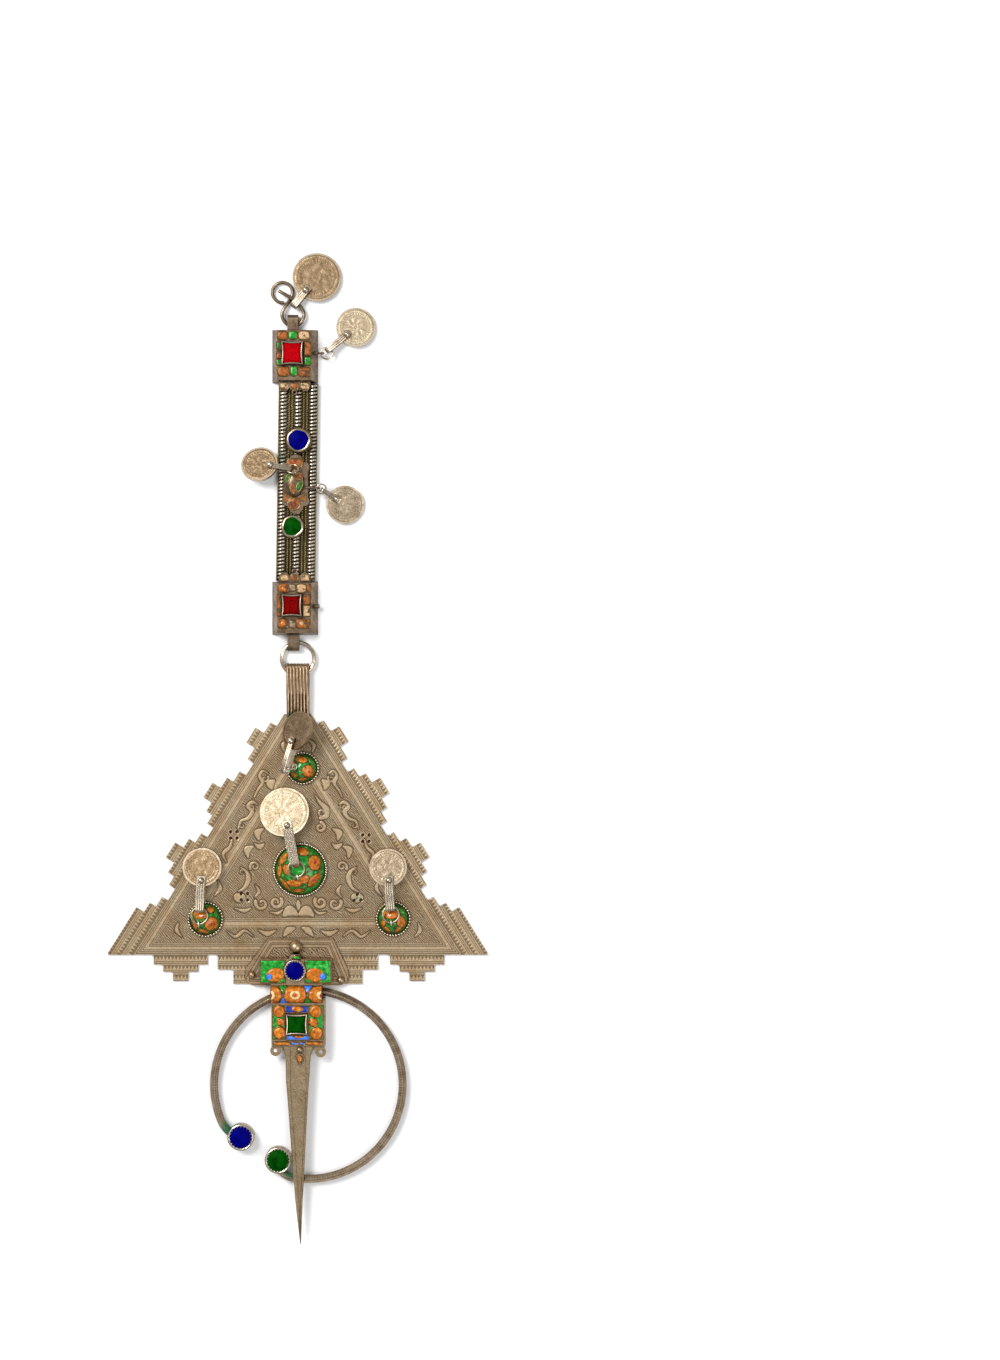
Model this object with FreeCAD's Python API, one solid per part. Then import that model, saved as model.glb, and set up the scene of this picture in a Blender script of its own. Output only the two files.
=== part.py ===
"""A silver plate brooch of the Anti-Atlas kind with its strap, hoop and coins, lying face up.

Millimetres. X runs across the brooch, Y runs from the point of the pin up to the hook of the
strap, and Z stands up from the table. The origin is the middle of the outline, on the table.
The plate, the head block, the pin and the strap stay together, and the hoop turns in its own
plane through the barrel of the head block.
"""

import FreeCAD, Part
import math
import os

Vec = FreeCAD.Vector
UP = Vec(0, 0, 1)

# What keeps two pieces apart
GAP = 0.1

# The triangular plate
PLATE_T = 1.2
APEX = (0.0, 26.0)
BASE_Y = -97.2
HALF_BASE = 76.9
CUT_TOP_Y = 15.8
FLANGE_END = 151.0
TAB_LOW_Y = -110.9
PIT_R = 0.55
PIT_DEPTH = 0.7

# Steps of the merlons on the slanted sides: start and end along the side, height outwards
RIGHT_STEPS = (
    ((17.7, 38.4, 3.3), (23.8, 32.0, 8.0)),
    ((44.2, 73.4, 3.4), (49.0, 68.0, 6.9), (54.4, 62.7, 11.5)),
    ((79.5, 108.6, 3.4), (85.0, 103.4, 6.9), (90.3, 98.2, 11.5)),
)
LEFT_STEPS = (
    ((18.7, 39.2, 3.3), (24.6, 32.8, 8.0)),
    ((45.9, 74.8, 3.4), (51.6, 70.1, 6.9), (57.2, 65.3, 11.5)),
    ((80.2, 108.7, 3.4), (85.4, 104.0, 6.9), (90.3, 98.6, 11.5)),
)
# Steps up to the corner flange: place along the side, height outwards
FLANGE_STEPS = ((115.2, 3.2), (120.6, 6.6), (125.7, 10.8))
# Steps below the base line: left and right end, depth
BASE_STEPS = (
    ((68.65, 43.35, 4.6), (64.2, 47.8, 8.0), (59.55, 52.45, 12.3)),
    ((37.6, -37.6, 7.0), (30.2, -30.2, BASE_Y - TAB_LOW_Y)),
    ((-42.35, -67.65, 4.6), (-46.8, -63.2, 8.0), (-51.45, -58.55, 12.3)),
)
# Groups of punched pits: middle of the group, number, half the spacing
PIT_GROUPS = ((-30.0, -41.0, 4, 1.5), (-25.0, -70.0, 4, 1.5), (32.0, -42.5, 4, 1.5), (28.0, -70.5, 3, 1.5))

# Enamelled bosses: middle, radius of the beaded collar, height of the dome
BOSSES = {
    "top": (2.4, -9.6, 8.0, 4.8),
    "centre": (1.2, -57.3, 13.0, 7.3),
    "left": (-43.2, -80.5, 8.65, 5.0),
    "right": (44.9, -80.3, 8.5, 5.0),
}
COLLAR_WIRE_R = 0.8

# Eyes that the jump rings hang in, and their stems
EYE_R = 1.15
EYE_WIRE_R = 0.45
STEM_R = 0.8

# Coins and their folded bails
COIN_T = 1.3
COIN_RIM = 0.9
COIN_SUNK = 0.15
BAIL_T = 0.45
RIVET_R = 0.8
RIVET_HEAD_R = 1.5
BAIL_PAST_RIVET = 2.1

# The head plate
HEAD_PLATE_T = 1.0
HEAD_PLATE_TOP = (-89.5, -13.6, 16.5)
HEAD_PLATE_LOW = (-111.5, -24.6, 24.0)
HEAD_BALLS = ((-0.6, -93.4, 2.9), (-21.3, -106.4, 1.6), (20.3, -108.9, 1.6))

# The hoop and what carries it
HOOP_X = 5.15
HOOP_Y = -157.9
HOOP_Z = 2.9
HOOP_R = 44.2
HOOP_WIRE = 1.85
HOOP_START = -100.0
HOOP_END = 203.0
BORE_R = 2.25
CUP_R = 6.2
CUP_LOW_Z = 0.6
CUP_TOP_Z = 5.4
CUP_WALL = 0.9
BLUE_CUP = (-26.4, -182.3)
GREEN_CUP = (-8.9, -193.1)

# The head block
CROSS = (-17.4, 16.5, -110.2, -98.7)
CROSS_TOP_Z = 7.0
BARREL = (-12.2, 11.9, -115.2)
BARREL_R = 5.0
BARREL_Z = 4.2
BOX = (-11.8, 13.1, -136.8, -117.0)
BOX_TOP_Z = 7.6
LIP_END_Y = -139.4
LIP_TOP_Z = 7.2
BLUE_SEAT = (-0.8, -103.9)
BLUE_SEAT_R = 4.95
SQUARE_SEAT = (0.0, -128.95)
SQUARE_HALF = (5.1, 4.9)

# The pin: place along Y, left edge, right edge, underside, top
PIN_LOW_Z = 5.05
PIN_TOP_Z = 7.2
PIN_SECTIONS = (
    (-139.5, -6.6, 8.0, PIN_LOW_Z, PIN_TOP_Z),
    (-144.5, -5.3, 6.4, PIN_LOW_Z, PIN_TOP_Z),
    (-155.8, -5.05, 5.7, PIN_LOW_Z, PIN_TOP_Z),
    (-165.7, -4.2, 5.05, PIN_LOW_Z, PIN_TOP_Z),
    (-197.1, -1.9, 3.5, PIN_LOW_Z, PIN_TOP_Z),
    (-210.6, -0.8, 2.8, PIN_LOW_Z, 6.9),
    (-219.6, 0.1, 2.4, PIN_LOW_Z, 6.5),
    (-232.2, 1.5, 1.9, PIN_LOW_Z, 5.45),
)
EARS = ((-10.0, -141.6), (11.1, -142.2))
EAR_R = 2.5
EAR_HOLE_R = 0.9
TEARDROP = (1.5, -144.4, 1.8)
TEARDROP_TIP_Y = -148.7
PIN_BALL = (1.5, -140.9, 1.5)

# The folded band at the apex and the ring that the strap hangs on
NECK_X = (-5.1, 5.5)
NECK_END_Y = 39.5
NECK_ROOT_Y = 14.6
NECK_T = 0.9
NECK_CAVITY = 2.6
LINK = (0.2, 41.8, 2.2)
LINK_R = 7.6
LINK_WIRE_R = 1.0

# The two box-shaped blocks of the strap
BLOCK_X = (-12.0, 9.5)
BLOCK_TOP_Z = 7.0
BLOCK_INSET = (2.9, 0.8)
LOWER_BLOCK_Y = (52.9, 78.0)
UPPER_BLOCK_Y = (171.2, 196.2)
LOWER_STONE = (-2.3, 66.7, 3.95, 4.45)
UPPER_STONE = (-2.0, 184.5, 4.35, 4.8)
SEAT_WALL = 0.8
SEAT_HIGH = 2.1
PINCH = 0.6

# The strap band
BAND_Y = (78.3, 170.9)
BAND_MIDDLE = (-0.25, 124.6)
BAND_LEAN = -0.84
BAND_HALF = 9.2
BAND_BASE_T = 1.8
BAND_TOP_Z = 3.7
COLUMNS = (-6.45, 0.15, 6.65)
COLUMN_R = 1.9
STRAP_WIRES = (-8.55, -3.9, -2.5, 2.8, 4.2, 8.55)
STRAP_WIRE_R = 0.65

# Settings on the strap: middle, radius of the base, radius of the stone
STUDS = {
    "blue": (0.8, 143.9, 6.1, 4.8),
    "green": (-2.0, 103.5, 5.5, 4.4),
}
STUD_TOP_Z = 7.6
MOTIF_Y = (109.7, 137.4)
MOTIF_X = (-6.9, 5.7)
MOTIF_T = 0.8
MOTIF_DOME = (-1.4, 124.0, 4.6, 6.4, 3.0)

# The hook of one bent wire: its tail, over the knot, round the pear loop, under the knot, round the ring
HOOK_Z = 2.2
HOOK_WIRE_R = 0.82
PEAR = (-2.1, 203.1, 5.15)
PEAR_RIGHT = 38.0
PEAR_STEPS = 8
HOOK_RING = (-7.1, 213.7, 4.75)
HOOK_RING_Z = 1.25
HOOK_RING_STEP = 45
HOOK_RING_END = 315
HOOK_KNOT = Vec(-3.2, 211.0, HOOK_Z)
HOOK_CROSSING = Vec(0, 0, 1.0)
HOOK_TAIL = Vec(-8.6, 214.2, HOOK_Z)

# Jump rings that lie level: x, y, z of the middle, radius, wire radius
RING_WIRE_R = 0.38
LEVEL_RINGS = {
    "centre": (-0.2, -56.4, 9.6, 3.8, RING_WIRE_R),
    "left": (-45.6, -78.4, 7.3, 3.8, RING_WIRE_R),
    "right": (43.9, -77.8, 7.3, 3.8, RING_WIRE_R),
    "strap_right": (11.4, 121.3, 4.9, 2.2, RING_WIRE_R),
    "block": (13.8, 184.9, 3.6, 2.7, 0.4),
}
# The two that stand: the top one between two points, the strap's left one tilted
TOP_RING_ENDS = (Vec(-4.9, -9.3, 9.8), Vec(-1.1, -8.8, 7.0))
TOP_RING_STEEP = Vec(0.70, -0.21, 0.68)
SIDE_RING = Vec(-1.9, 130.5, 7.2)
SIDE_RING_R = 2.6
SIDE_RING_TILT = 36.0
# Bearing on each ring of its eye, and of the bail's loop
BEARINGS = {
    "top": (180, 0),
    "centre": (180, 0),
    "left": (180, 0),
    "right": (180, 0),
    "strap_left": (97, 0),
    "strap_right": (198, -6),
    "block": (137, 12),
}
# Coins: x, y, radius, and what their bails differ in
ON_PLATE = PLATE_T + 2 * GAP
COINS = {
    "top": (0.4, 8.2, 9.2, dict(z=8.6, roll=-43.0, width=2.8, rivet=0.6, room=2.6)),
    "centre": (-5.9, -30.1, 11.5, dict(rest=ON_PLATE, width=4.4, rivet=0.57)),
    "left": (-44.6, -56.0, 9.1, dict(rest=ON_PLATE, width=4.1, rivet=0.7)),
    "right": (42.6, -56.1, 8.8, dict(rest=ON_PLATE, width=4.1, rivet=0.7, hole=(2.6, -6.6))),
    "strap_left": (-17.6, 132.8, 8.7, dict(z=4.5, roll=22.0, width=2.4, room=1.7, slack=0.6)),
    "strap_right": (22.3, 114.0, 8.9, dict(rest=GAP, width=2.4, rivet=0.55, slack=1.0)),
    "block": (27.4, 197.3, 9.2, dict(rest=GAP, width=2.7, slack=1.1)),
    "hook": (9.1, 220.8, 11.4, dict(rest=GAP, width=3.3, rivet=0.72, room=2.6)),
}

# The head plate's lower corner, from the outside in: inset, rise
HEAD_PLATE_CORNER = ((0.6, 8.0), (0.0, 4.0), (1.2, 1.2), (4.0, 0.0))
# The tab over the blue stone: foot left and right, tip left and right, height of the tip
CROSS_TAB = (-4.2, 2.6, -2.5, 0.9, 2.2)
STONE_GIRDLE = 1.5
# The neck loop's side: where the fold ends, where the slope runs, and where its foot starts
NECK_FOLD_Y = 28.0
NECK_SLOPE_Y = (18.0, 26.0)
NECK_FOOT_Y = 16.0
# The scalloped edge of a block
LOBE_X = (-6.0, -1.2, 3.6)
LOBE_R = 2.5
LOBE_T = 0.9
LOBE_OUT = 1.6
LOBE_STRIP_X = (-8.6, 6.2)
LOBE_RING_OUT = 4.6
LOBE_RING_R = 1.0
LOBE_RING_WIRE_R = 0.4
# The blocks' tube loops: left, right, end in Y
LOWER_TUBE = (-4.6, 0.8, 45.3)
UPPER_TUBE = (-4.6, 0.4, 203.1)
LOWER_STUB = (Vec(8.0, 66.3, 3.2), Vec(10.4, 66.3, 3.2))
LOWER_STUB_R = 1.0
UPPER_EYE_FOOT_X = 7.2
# The mount's rounded ends and side lobes
MOTIF_END_R = 3.4
MOTIF_LOBE_R = 2.4
MOTIF_LOBE_IN = 6.0


def prism(points, z0, z1):
    """A straight prism on a closed row of (x, y) points."""
    corners = [Vec(x, y, z0) for x, y in points]
    face = Part.Face(Part.makePolygon(corners + corners[:1]))
    return face.extrude(Vec(0, 0, z1 - z0))


def block(x0, x1, y0, y1, z0, z1):
    return Part.makeBox(x1 - x0, y1 - y0, z1 - z0, Vec(x0, y0, z0))


def disc(x, y, z0, radius, height):
    return Part.makeCylinder(radius, height, Vec(x, y, z0))


def ball(x, y, z, radius):
    return Part.makeSphere(radius, Vec(x, y, z))


def rod(a, b, radius):
    """A round rod between two points."""
    return Part.makeCylinder(radius, (b - a).Length, a, b - a)


def torus(centre, radius, wire, axis=UP):
    return Part.makeTorus(radius, wire, centre, axis)


def turned_arc(profile, centre, start, end):
    """Turns a profile that stands in the XZ plane, at centre + (radius, 0, z).

    It runs from start to end, in degrees.
    """
    solid = profile.revolve(Vec(centre[0], centre[1], 0), UP, end - start)
    solid.rotate(Vec(centre[0], centre[1], 0), UP, start)
    return solid


def one_solid(name, shape):
    """The shape as one clean solid."""
    clean = shape.removeSplitter()
    if len(clean.Solids) != 1 or not clean.isValid():
        raise ValueError(f"{name}: {len(clean.Solids)} solids, valid {clean.isValid()}")
    return clean.Solids[0]


def frustum(low, high, z0, z1):
    """A solid between two level rectangles, each (x0, x1, y0, y1)."""
    wires = []
    for (x0, x1, y0, y1), z in ((low, z0), (high, z1)):
        corners = [Vec(x0, y0, z), Vec(x1, y0, z), Vec(x1, y1, z), Vec(x0, y1, z)]
        wires.append(Part.makePolygon(corners + corners[:1]))
    return Part.makeLoft(wires, True, True)


def cabochon(x, y, z0, radius, wall, rise):
    """A round glass stone: a short wall under a flat dome."""
    sphere_r = (radius ** 2 + rise ** 2) / (2 * rise)
    ball_part = ball(x, y, z0 + wall + rise - sphere_r, sphere_r)
    dome = ball_part.common(disc(x, y, z0 + wall - 0.01, radius, rise + 1.0))
    return disc(x, y, z0, radius, wall).fuse(dome)


def eight_sided(x, y, z, half_x, half_y, corner):
    """A level rectangle with cut corners, as a closed wire."""
    points = []
    for sx, sy in ((1, 1), (-1, 1), (-1, -1), (1, -1)):
        side = Vec(x + sx * half_x, y + sy * (half_y - corner), z)
        end = Vec(x + sx * (half_x - corner), y + sy * half_y, z)
        points += [side, end] if sx * sy > 0 else [end, side]
    return Part.makePolygon(points + points[:1])


def cut_stone(x, y, z0, half_x, half_y, girdle, crown):
    """A square step-cut stone: eight sides, eight crown facets and a table."""
    corner = 0.22 * min(half_x, half_y)
    low = eight_sided(x, y, z0, half_x, half_y, corner)
    middle = eight_sided(x, y, z0 + girdle, half_x, half_y, corner)
    table = eight_sided(x, y, z0 + girdle + crown, 0.72 * half_x, 0.72 * half_y, 0.72 * corner)
    return Part.makeLoft([low, middle], True, True).fuse(Part.makeLoft([middle, table], True, True))


def pinched(x, y, z0, half_x, half_y, pinch, height):
    """A four-sided prism whose sides bend in between the corners."""
    corners = [Vec(x + sx * half_x, y + sy * half_y, z0) for sx, sy in ((1, 1), (-1, 1), (-1, -1), (1, -1))]
    middles = [
        Vec(x, y + half_y - pinch, z0),
        Vec(x - half_x + pinch, y, z0),
        Vec(x, y - half_y + pinch, z0),
        Vec(x + half_x - pinch, y, z0),
    ]
    sides = []
    for i, middle in enumerate(middles):
        sides.append(Part.Arc(corners[i], middle, corners[(i + 1) % 4]).toShape())
    return Part.Face(Part.Wire(sides)).extrude(Vec(0, 0, height))


def square_seat(x, y, z0, half_x, half_y):
    """The high wall round a square stone."""
    outer = pinched(x, y, z0, half_x + SEAT_WALL, half_y + SEAT_WALL, PINCH, SEAT_HIGH)
    room = block(x - half_x, x + half_x, y - half_y, y + half_y, z0 - 1, z0 + SEAT_HIGH + 1)
    return outer.cut(room)


def side_points(side, steps):
    """Outline points of one slanted side, from the apex to the corner tip; side is 1 right, -1 left."""
    length = math.hypot(HALF_BASE, APEX[1] - BASE_Y)
    along = (side * HALF_BASE / length, (BASE_Y - APEX[1]) / length)
    out = (side * -along[1], side * along[0])
    track = [((APEX[1] - CUT_TOP_Y) / -along[1], 0.0)]
    for merlon in steps:
        height = 0.0
        for start, _, step in merlon:
            track += [(start, height), (start, step)]
            height = step
        heights = [0.0] + [step for _, _, step in merlon]
        for level in range(len(merlon), 0, -1):
            end = merlon[level - 1][1]
            track += [(end, heights[level]), (end, heights[level - 1])]
    height = 0.0
    for place, step in FLANGE_STEPS:
        track += [(place, height), (place, step)]
        height = step
    track.append((FLANGE_END, height))
    return [(APEX[0] + s * along[0] + h * out[0], APEX[1] + s * along[1] + h * out[1]) for s, h in track]


def base_points():
    """Outline points below the base line, from right to left."""
    track = []
    for merlon in BASE_STEPS:
        depth = 0.0
        for right, _, step in merlon:
            track += [(right, depth), (right, step)]
            depth = step
        depths = [0.0] + [step for _, _, step in merlon]
        for level in range(len(merlon), 0, -1):
            left = merlon[level - 1][1]
            track += [(left, depths[level]), (left, depths[level - 1])]
    return [(x, BASE_Y - depth) for x, depth in track]


def make_plate():
    """The sheet with its stepped edge, the four soldered collars and the punched pits."""
    right = side_points(1, RIGHT_STEPS)
    left = side_points(-1, LEFT_STEPS)
    corner_r = (right[-1][0], BASE_Y)
    corner_l = (left[-1][0], BASE_Y)
    outline = right + [corner_r] + base_points() + [corner_l] + left[::-1]
    plate = prism(outline, 0, PLATE_T)
    for x, y, collar_r, _ in BOSSES.values():
        plate = plate.fuse(torus(Vec(x, y, PLATE_T + 0.4), collar_r - COLLAR_WIRE_R, COLLAR_WIRE_R))
    for x, y, count, half in PIT_GROUPS:
        for sx, sy in ((1, 1), (-1, 1), (-1, -1), (1, -1))[:count]:
            plate = plate.cut(disc(x + sx * half, y + sy * half, PLATE_T - PIT_DEPTH, PIT_R, PLATE_T))
    return plate


def dome_top(boss, x, y):
    """Height of a boss's dome over the point (x, y)."""
    bx, by, collar_r, rise = BOSSES[boss]
    radius = collar_r - 2 * COLLAR_WIRE_R - GAP
    sphere_r = (radius ** 2 + rise ** 2) / (2 * rise)
    reach = (x - bx) ** 2 + (y - by) ** 2
    return PLATE_T + GAP + rise - sphere_r + math.sqrt(sphere_r ** 2 - reach)


def eye_on(shape, eye, tangent, foot):
    """Adds an eye of round wire at a point, square to the ring's wire, and its stem from foot."""
    ring = torus(eye, EYE_R, EYE_WIRE_R, tangent)
    towards = (foot - eye).normalize()
    stem = rod(foot, eye + towards * EYE_R, STEM_R)
    return shape.fuse(stem).fuse(ring)


def make_boss(boss, eye, tangent):
    """An enamelled dome with the eye that its jump ring hangs in."""
    x, y, collar_r, rise = BOSSES[boss]
    radius = collar_r - 2 * COLLAR_WIRE_R - GAP
    dome = cabochon(x, y, PLATE_T + GAP, radius, 0.3, rise - 0.3)
    return eye_on(dome, eye, tangent, Vec(eye.x, eye.y, dome_top(boss, eye.x, eye.y) - 0.6))


class Ring:
    """A jump ring: middle, radius, wire, and the two directions of its plane."""

    def __init__(self, centre, radius, wire, first, second):
        self.centre = centre
        self.radius = radius
        self.wire = wire
        self.first = Vec(first).normalize()
        flat = second - self.first * second.dot(self.first)
        self.second = flat.normalize()
        self.axis = self.first.cross(self.second)

    def point(self, bearing):
        turn = math.radians(bearing)
        return self.centre + (self.first * math.cos(turn) + self.second * math.sin(turn)) * self.radius

    def tangent(self, bearing):
        turn = math.radians(bearing)
        return self.second * math.cos(turn) - self.first * math.sin(turn)

    def solid(self):
        return torus(self.centre, self.radius, self.wire, self.axis)


def level_ring(x, y, z, radius, wire, towards):
    """A ring that lies level, with bearing 0 towards the point (x, y) of its coin."""
    along = Vec(towards[0] - x, towards[1] - y, 0)
    return Ring(Vec(x, y, z), radius, wire, along, Vec(-along.y, along.x, 0))


class Drop:
    """A coin on its folded bail. The loop of the bail holds a wire at the point loop."""

    def __init__(self, x, y, radius, loop, rest=None, z=None, roll=0.0, width=3.6, rivet=0.62,
                 room=1.5, slack=0.9, hole=None):
        flat = math.hypot(loop.x - x, loop.y - y)
        if z is None:
            lean = math.asin((loop.z - COIN_T / 2 - rest) / (flat + radius))
            z = loop.z - flat * math.tan(lean)
        self.centre = Vec(x, y, z)
        self.radius = radius
        self.reach = (loop - self.centre).Length
        self.width = width
        self.rivet = rivet * radius
        self.room = room
        self.slack = slack
        self.hole = hole
        along = (loop - self.centre).normalize()
        across = along.cross(UP).normalize()
        normal = across.cross(along)
        turn = math.radians(roll)
        self.across = across * math.cos(turn) + normal * math.sin(turn)
        self.normal = normal * math.cos(turn) - across * math.sin(turn)
        self.along = along

    def place(self, shape):
        turn = FreeCAD.Rotation(self.across, self.along, self.normal, "YXZ")
        shape.Placement = FreeCAD.Placement(self.centre, turn)
        return shape

    def coin(self):
        body = disc(0, 0, -COIN_T / 2, self.radius, COIN_T)
        for z0 in (COIN_T / 2 - COIN_SUNK, -COIN_T / 2 - 1 + COIN_SUNK):
            body = body.cut(disc(0, 0, z0, self.radius - COIN_RIM, 1.0))
        body = body.cut(disc(0, self.rivet, -2, RIVET_R + GAP, 4))
        if self.hole:
            body = body.cut(disc(self.hole[0], self.hole[1], -2, 1.0, 4))
        return self.place(body)

    def bail(self):
        half_w = self.width / 2
        inner = self.room / 2
        outer = inner + BAIL_T
        start = self.rivet - BAIL_PAST_RIVET
        end = self.reach + self.slack
        legs = block(-half_w, half_w, start, end, -outer, outer)
        legs = legs.fuse(Part.makeCylinder(outer, self.width, Vec(-half_w, end, 0), Vec(1, 0, 0)))
        slot = block(-half_w - 1, half_w + 1, start - 1, end, -inner, inner)
        slot = slot.fuse(Part.makeCylinder(inner, self.width + 2, Vec(-half_w - 1, end, 0), Vec(1, 0, 0)))
        bail = legs.cut(slot)
        bail = bail.fuse(disc(0, self.rivet, -outer, RIVET_R, 2 * outer))
        head = ball(0, self.rivet, outer + 0.3, RIVET_HEAD_R)
        head = head.common(block(-3, 3, self.rivet - 3, self.rivet + 3, outer - 0.2, 9))
        bail = bail.fuse(head)
        return self.place(bail)


def make_head_plate():
    """The six-sided plate riveted on the base of the brooch, with its three ball heads."""
    top_y, top_l, top_r = HEAD_PLATE_TOP
    low_y, low_l, low_r = HEAD_PLATE_LOW
    z0 = PLATE_T + GAP
    outline = [(top_l, top_y), (top_r, top_y)]
    outline += [(low_r - inset, low_y + rise) for inset, rise in HEAD_PLATE_CORNER]
    outline += [(low_l + inset, low_y + rise) for inset, rise in reversed(HEAD_PLATE_CORNER)]
    plate = prism(outline, z0, z0 + HEAD_PLATE_T)
    for x, y, radius in HEAD_BALLS:
        head = ball(x, y, z0 + HEAD_PLATE_T + 0.45 * radius, radius)
        plate = plate.fuse(head.common(block(x - 4, x + 4, y - 4, y + 4, z0 + 0.2, 20)))
    return plate


def make_head_block():
    """The enamelled block: crosspiece, barrel with the hoop's bore, box and lip, with two stone seats."""
    x0, x1, y0, y1 = CROSS
    low_z = PLATE_T + HEAD_PLATE_T + 2 * GAP
    solid = block(x0, x1, y0, y1, low_z, CROSS_TOP_Z)
    left, right, tip_left, tip_right, tip_high = CROSS_TAB
    tab = [(left, y1 - 1), (right, y1 - 1), (tip_right, y1 + tip_high), (tip_left, y1 + tip_high)]
    solid = solid.fuse(prism(tab, low_z, CROSS_TOP_Z))
    left, right, barrel_y = BARREL
    barrel = Part.makeCylinder(BARREL_R, right - left, Vec(left, barrel_y, BARREL_Z), Vec(1, 0, 0))
    solid = solid.fuse(barrel.common(block(left, right, barrel_y - 6, barrel_y + 6, 0, 20)))
    solid = solid.fuse(block(left, right, barrel_y, y0 + 1, low_z, CROSS_TOP_Z))
    bx0, bx1, by0, by1 = BOX
    solid = solid.fuse(block(bx0, bx1, by0, by1, 0, BOX_TOP_Z))
    solid = solid.fuse(block(bx0, bx1, LIP_END_Y, by0 + 1, 0, LIP_TOP_Z))
    sx, sy = BLUE_SEAT
    solid = solid.fuse(disc(sx, sy, low_z, BLUE_SEAT_R, CROSS_TOP_Z + SEAT_HIGH - low_z))
    solid = solid.cut(disc(sx, sy, CROSS_TOP_Z - 0.5, BLUE_SEAT_R - 0.5, 9))
    qx, qy = SQUARE_SEAT
    half_x, half_y = SQUARE_HALF
    solid = solid.fuse(square_seat(qx, qy, BOX_TOP_Z, half_x - SEAT_WALL, half_y - SEAT_WALL))
    solid = solid.cut(torus(Vec(HOOP_X, HOOP_Y, HOOP_Z), HOOP_R, BORE_R))
    return solid.cut(block(x0 - 1, x1 + 1, HEAD_PLATE_LOW[0] - 2 * GAP, y1 + 3, -1, low_z))


def wire_profile(centre, radius):
    """The hoop's eight-sided section, a square on its edge with blunt corners, standing in the XZ plane."""
    blunt = 0.55
    pairs = []
    for sx, sz in ((1, 0), (0, 1), (-1, 0), (0, -1)):
        for side in (-1, 1):
            pairs.append((sx * HOOP_WIRE - sz * side * blunt, sz * HOOP_WIRE + sx * side * blunt))
    corners = [Vec(centre[0] + radius + dx, centre[1], HOOP_Z + dz) for dx, dz in pairs]
    return Part.Face(Part.makePolygon(corners + corners[:1]))


def bent_end(angle, turning, cup):
    """The hoop's end from an angle on the circle to its cup, as one arc tangent to the circle.

    turning is 1 where the wire runs on anticlockwise, -1 where it runs clockwise.
    """
    a = math.radians(angle)
    start = (HOOP_X + HOOP_R * math.cos(a), HOOP_Y + HOOP_R * math.sin(a))
    inwards = (-math.cos(a), -math.sin(a))
    to_cup = (cup[0] - start[0], cup[1] - start[1])
    reach = math.hypot(*to_cup)
    depth = to_cup[0] * inwards[0] + to_cup[1] * inwards[1]
    radius = reach ** 2 / (2 * depth)
    centre = (start[0] + inwards[0] * radius, start[1] + inwards[1] * radius)
    sweep = 2 * math.degrees(math.asin(reach / (2 * radius)))
    first, last = (angle, angle + sweep) if turning > 0 else (angle - sweep, angle)
    return turned_arc(wire_profile(centre, radius), centre, first, last)


def make_hoop():
    """The open hoop with a stone cup on each inward-bent end."""
    centre = (HOOP_X, HOOP_Y)
    hoop = turned_arc(wire_profile(centre, HOOP_R), centre, HOOP_START, HOOP_END)
    hoop = hoop.fuse(bent_end(HOOP_END, 1, BLUE_CUP))
    hoop = hoop.fuse(bent_end(HOOP_START, -1, GREEN_CUP))
    for x, y in (BLUE_CUP, GREEN_CUP):
        hoop = hoop.fuse(disc(x, y, CUP_LOW_Z, CUP_R, CUP_TOP_Z - CUP_LOW_Z))
        hoop = hoop.cut(disc(x, y, CUP_TOP_Z - 1.6, CUP_R - CUP_WALL, 9))
    return hoop


def make_pin():
    """The flat tapering pin with its two pierced ears and the teardrop cell at its root."""
    wires = []
    for y, left, right, z0, z1 in PIN_SECTIONS:
        edge = min(0.5, 0.3 * (z1 - z0), 0.3 * (right - left))
        points = [
            (left + edge, z0),
            (right - edge, z0),
            (right, z0 + edge),
            (right, z1 - edge),
            (right - edge, z1),
            (left + edge, z1),
            (left, z1 - edge),
            (left, z0 + edge),
        ]
        corners = [Vec(x, y, z) for x, z in points]
        wires.append(Part.makePolygon(corners + corners[:1]))
    pin = Part.makeLoft(wires, True, True)
    root_y = PIN_SECTIONS[0][0]
    ear_top = PIN_LOW_Z + 1.2
    left = EARS[0][0] - EAR_R + 0.6
    right = EARS[1][0] + EAR_R - 0.6
    pin = pin.fuse(block(left, right, root_y - 1.6, root_y, PIN_LOW_Z, ear_top))
    for x, y in EARS:
        ear = disc(x, y, PIN_LOW_Z, EAR_R, ear_top - PIN_LOW_Z)
        ear = ear.cut(block(x - 4, x + 4, root_y, root_y + 5, 0, 20))
        pin = pin.fuse(ear)
    for x, y in EARS:
        pin = pin.cut(disc(x, y, 0, EAR_HOLE_R, 20))
    x, y, radius = TEARDROP
    cell = disc(x, y, PIN_TOP_Z - 0.3, radius, 1.1)
    half = 0.95 * radius
    tail = [(x - half, y - 0.4), (x, TEARDROP_TIP_Y), (x + half, y - 0.4)]
    cell = cell.fuse(prism(tail, PIN_TOP_Z - 0.3, PIN_TOP_Z + 0.8))
    pin = pin.fuse(cell)
    bx, by, ball_r = PIN_BALL
    head = ball(bx, by, PIN_TOP_Z + 0.3 * ball_r, ball_r)
    return pin.fuse(head.common(block(-9, 9, by - 4, root_y, PIN_TOP_Z - 0.5, 20)))


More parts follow.
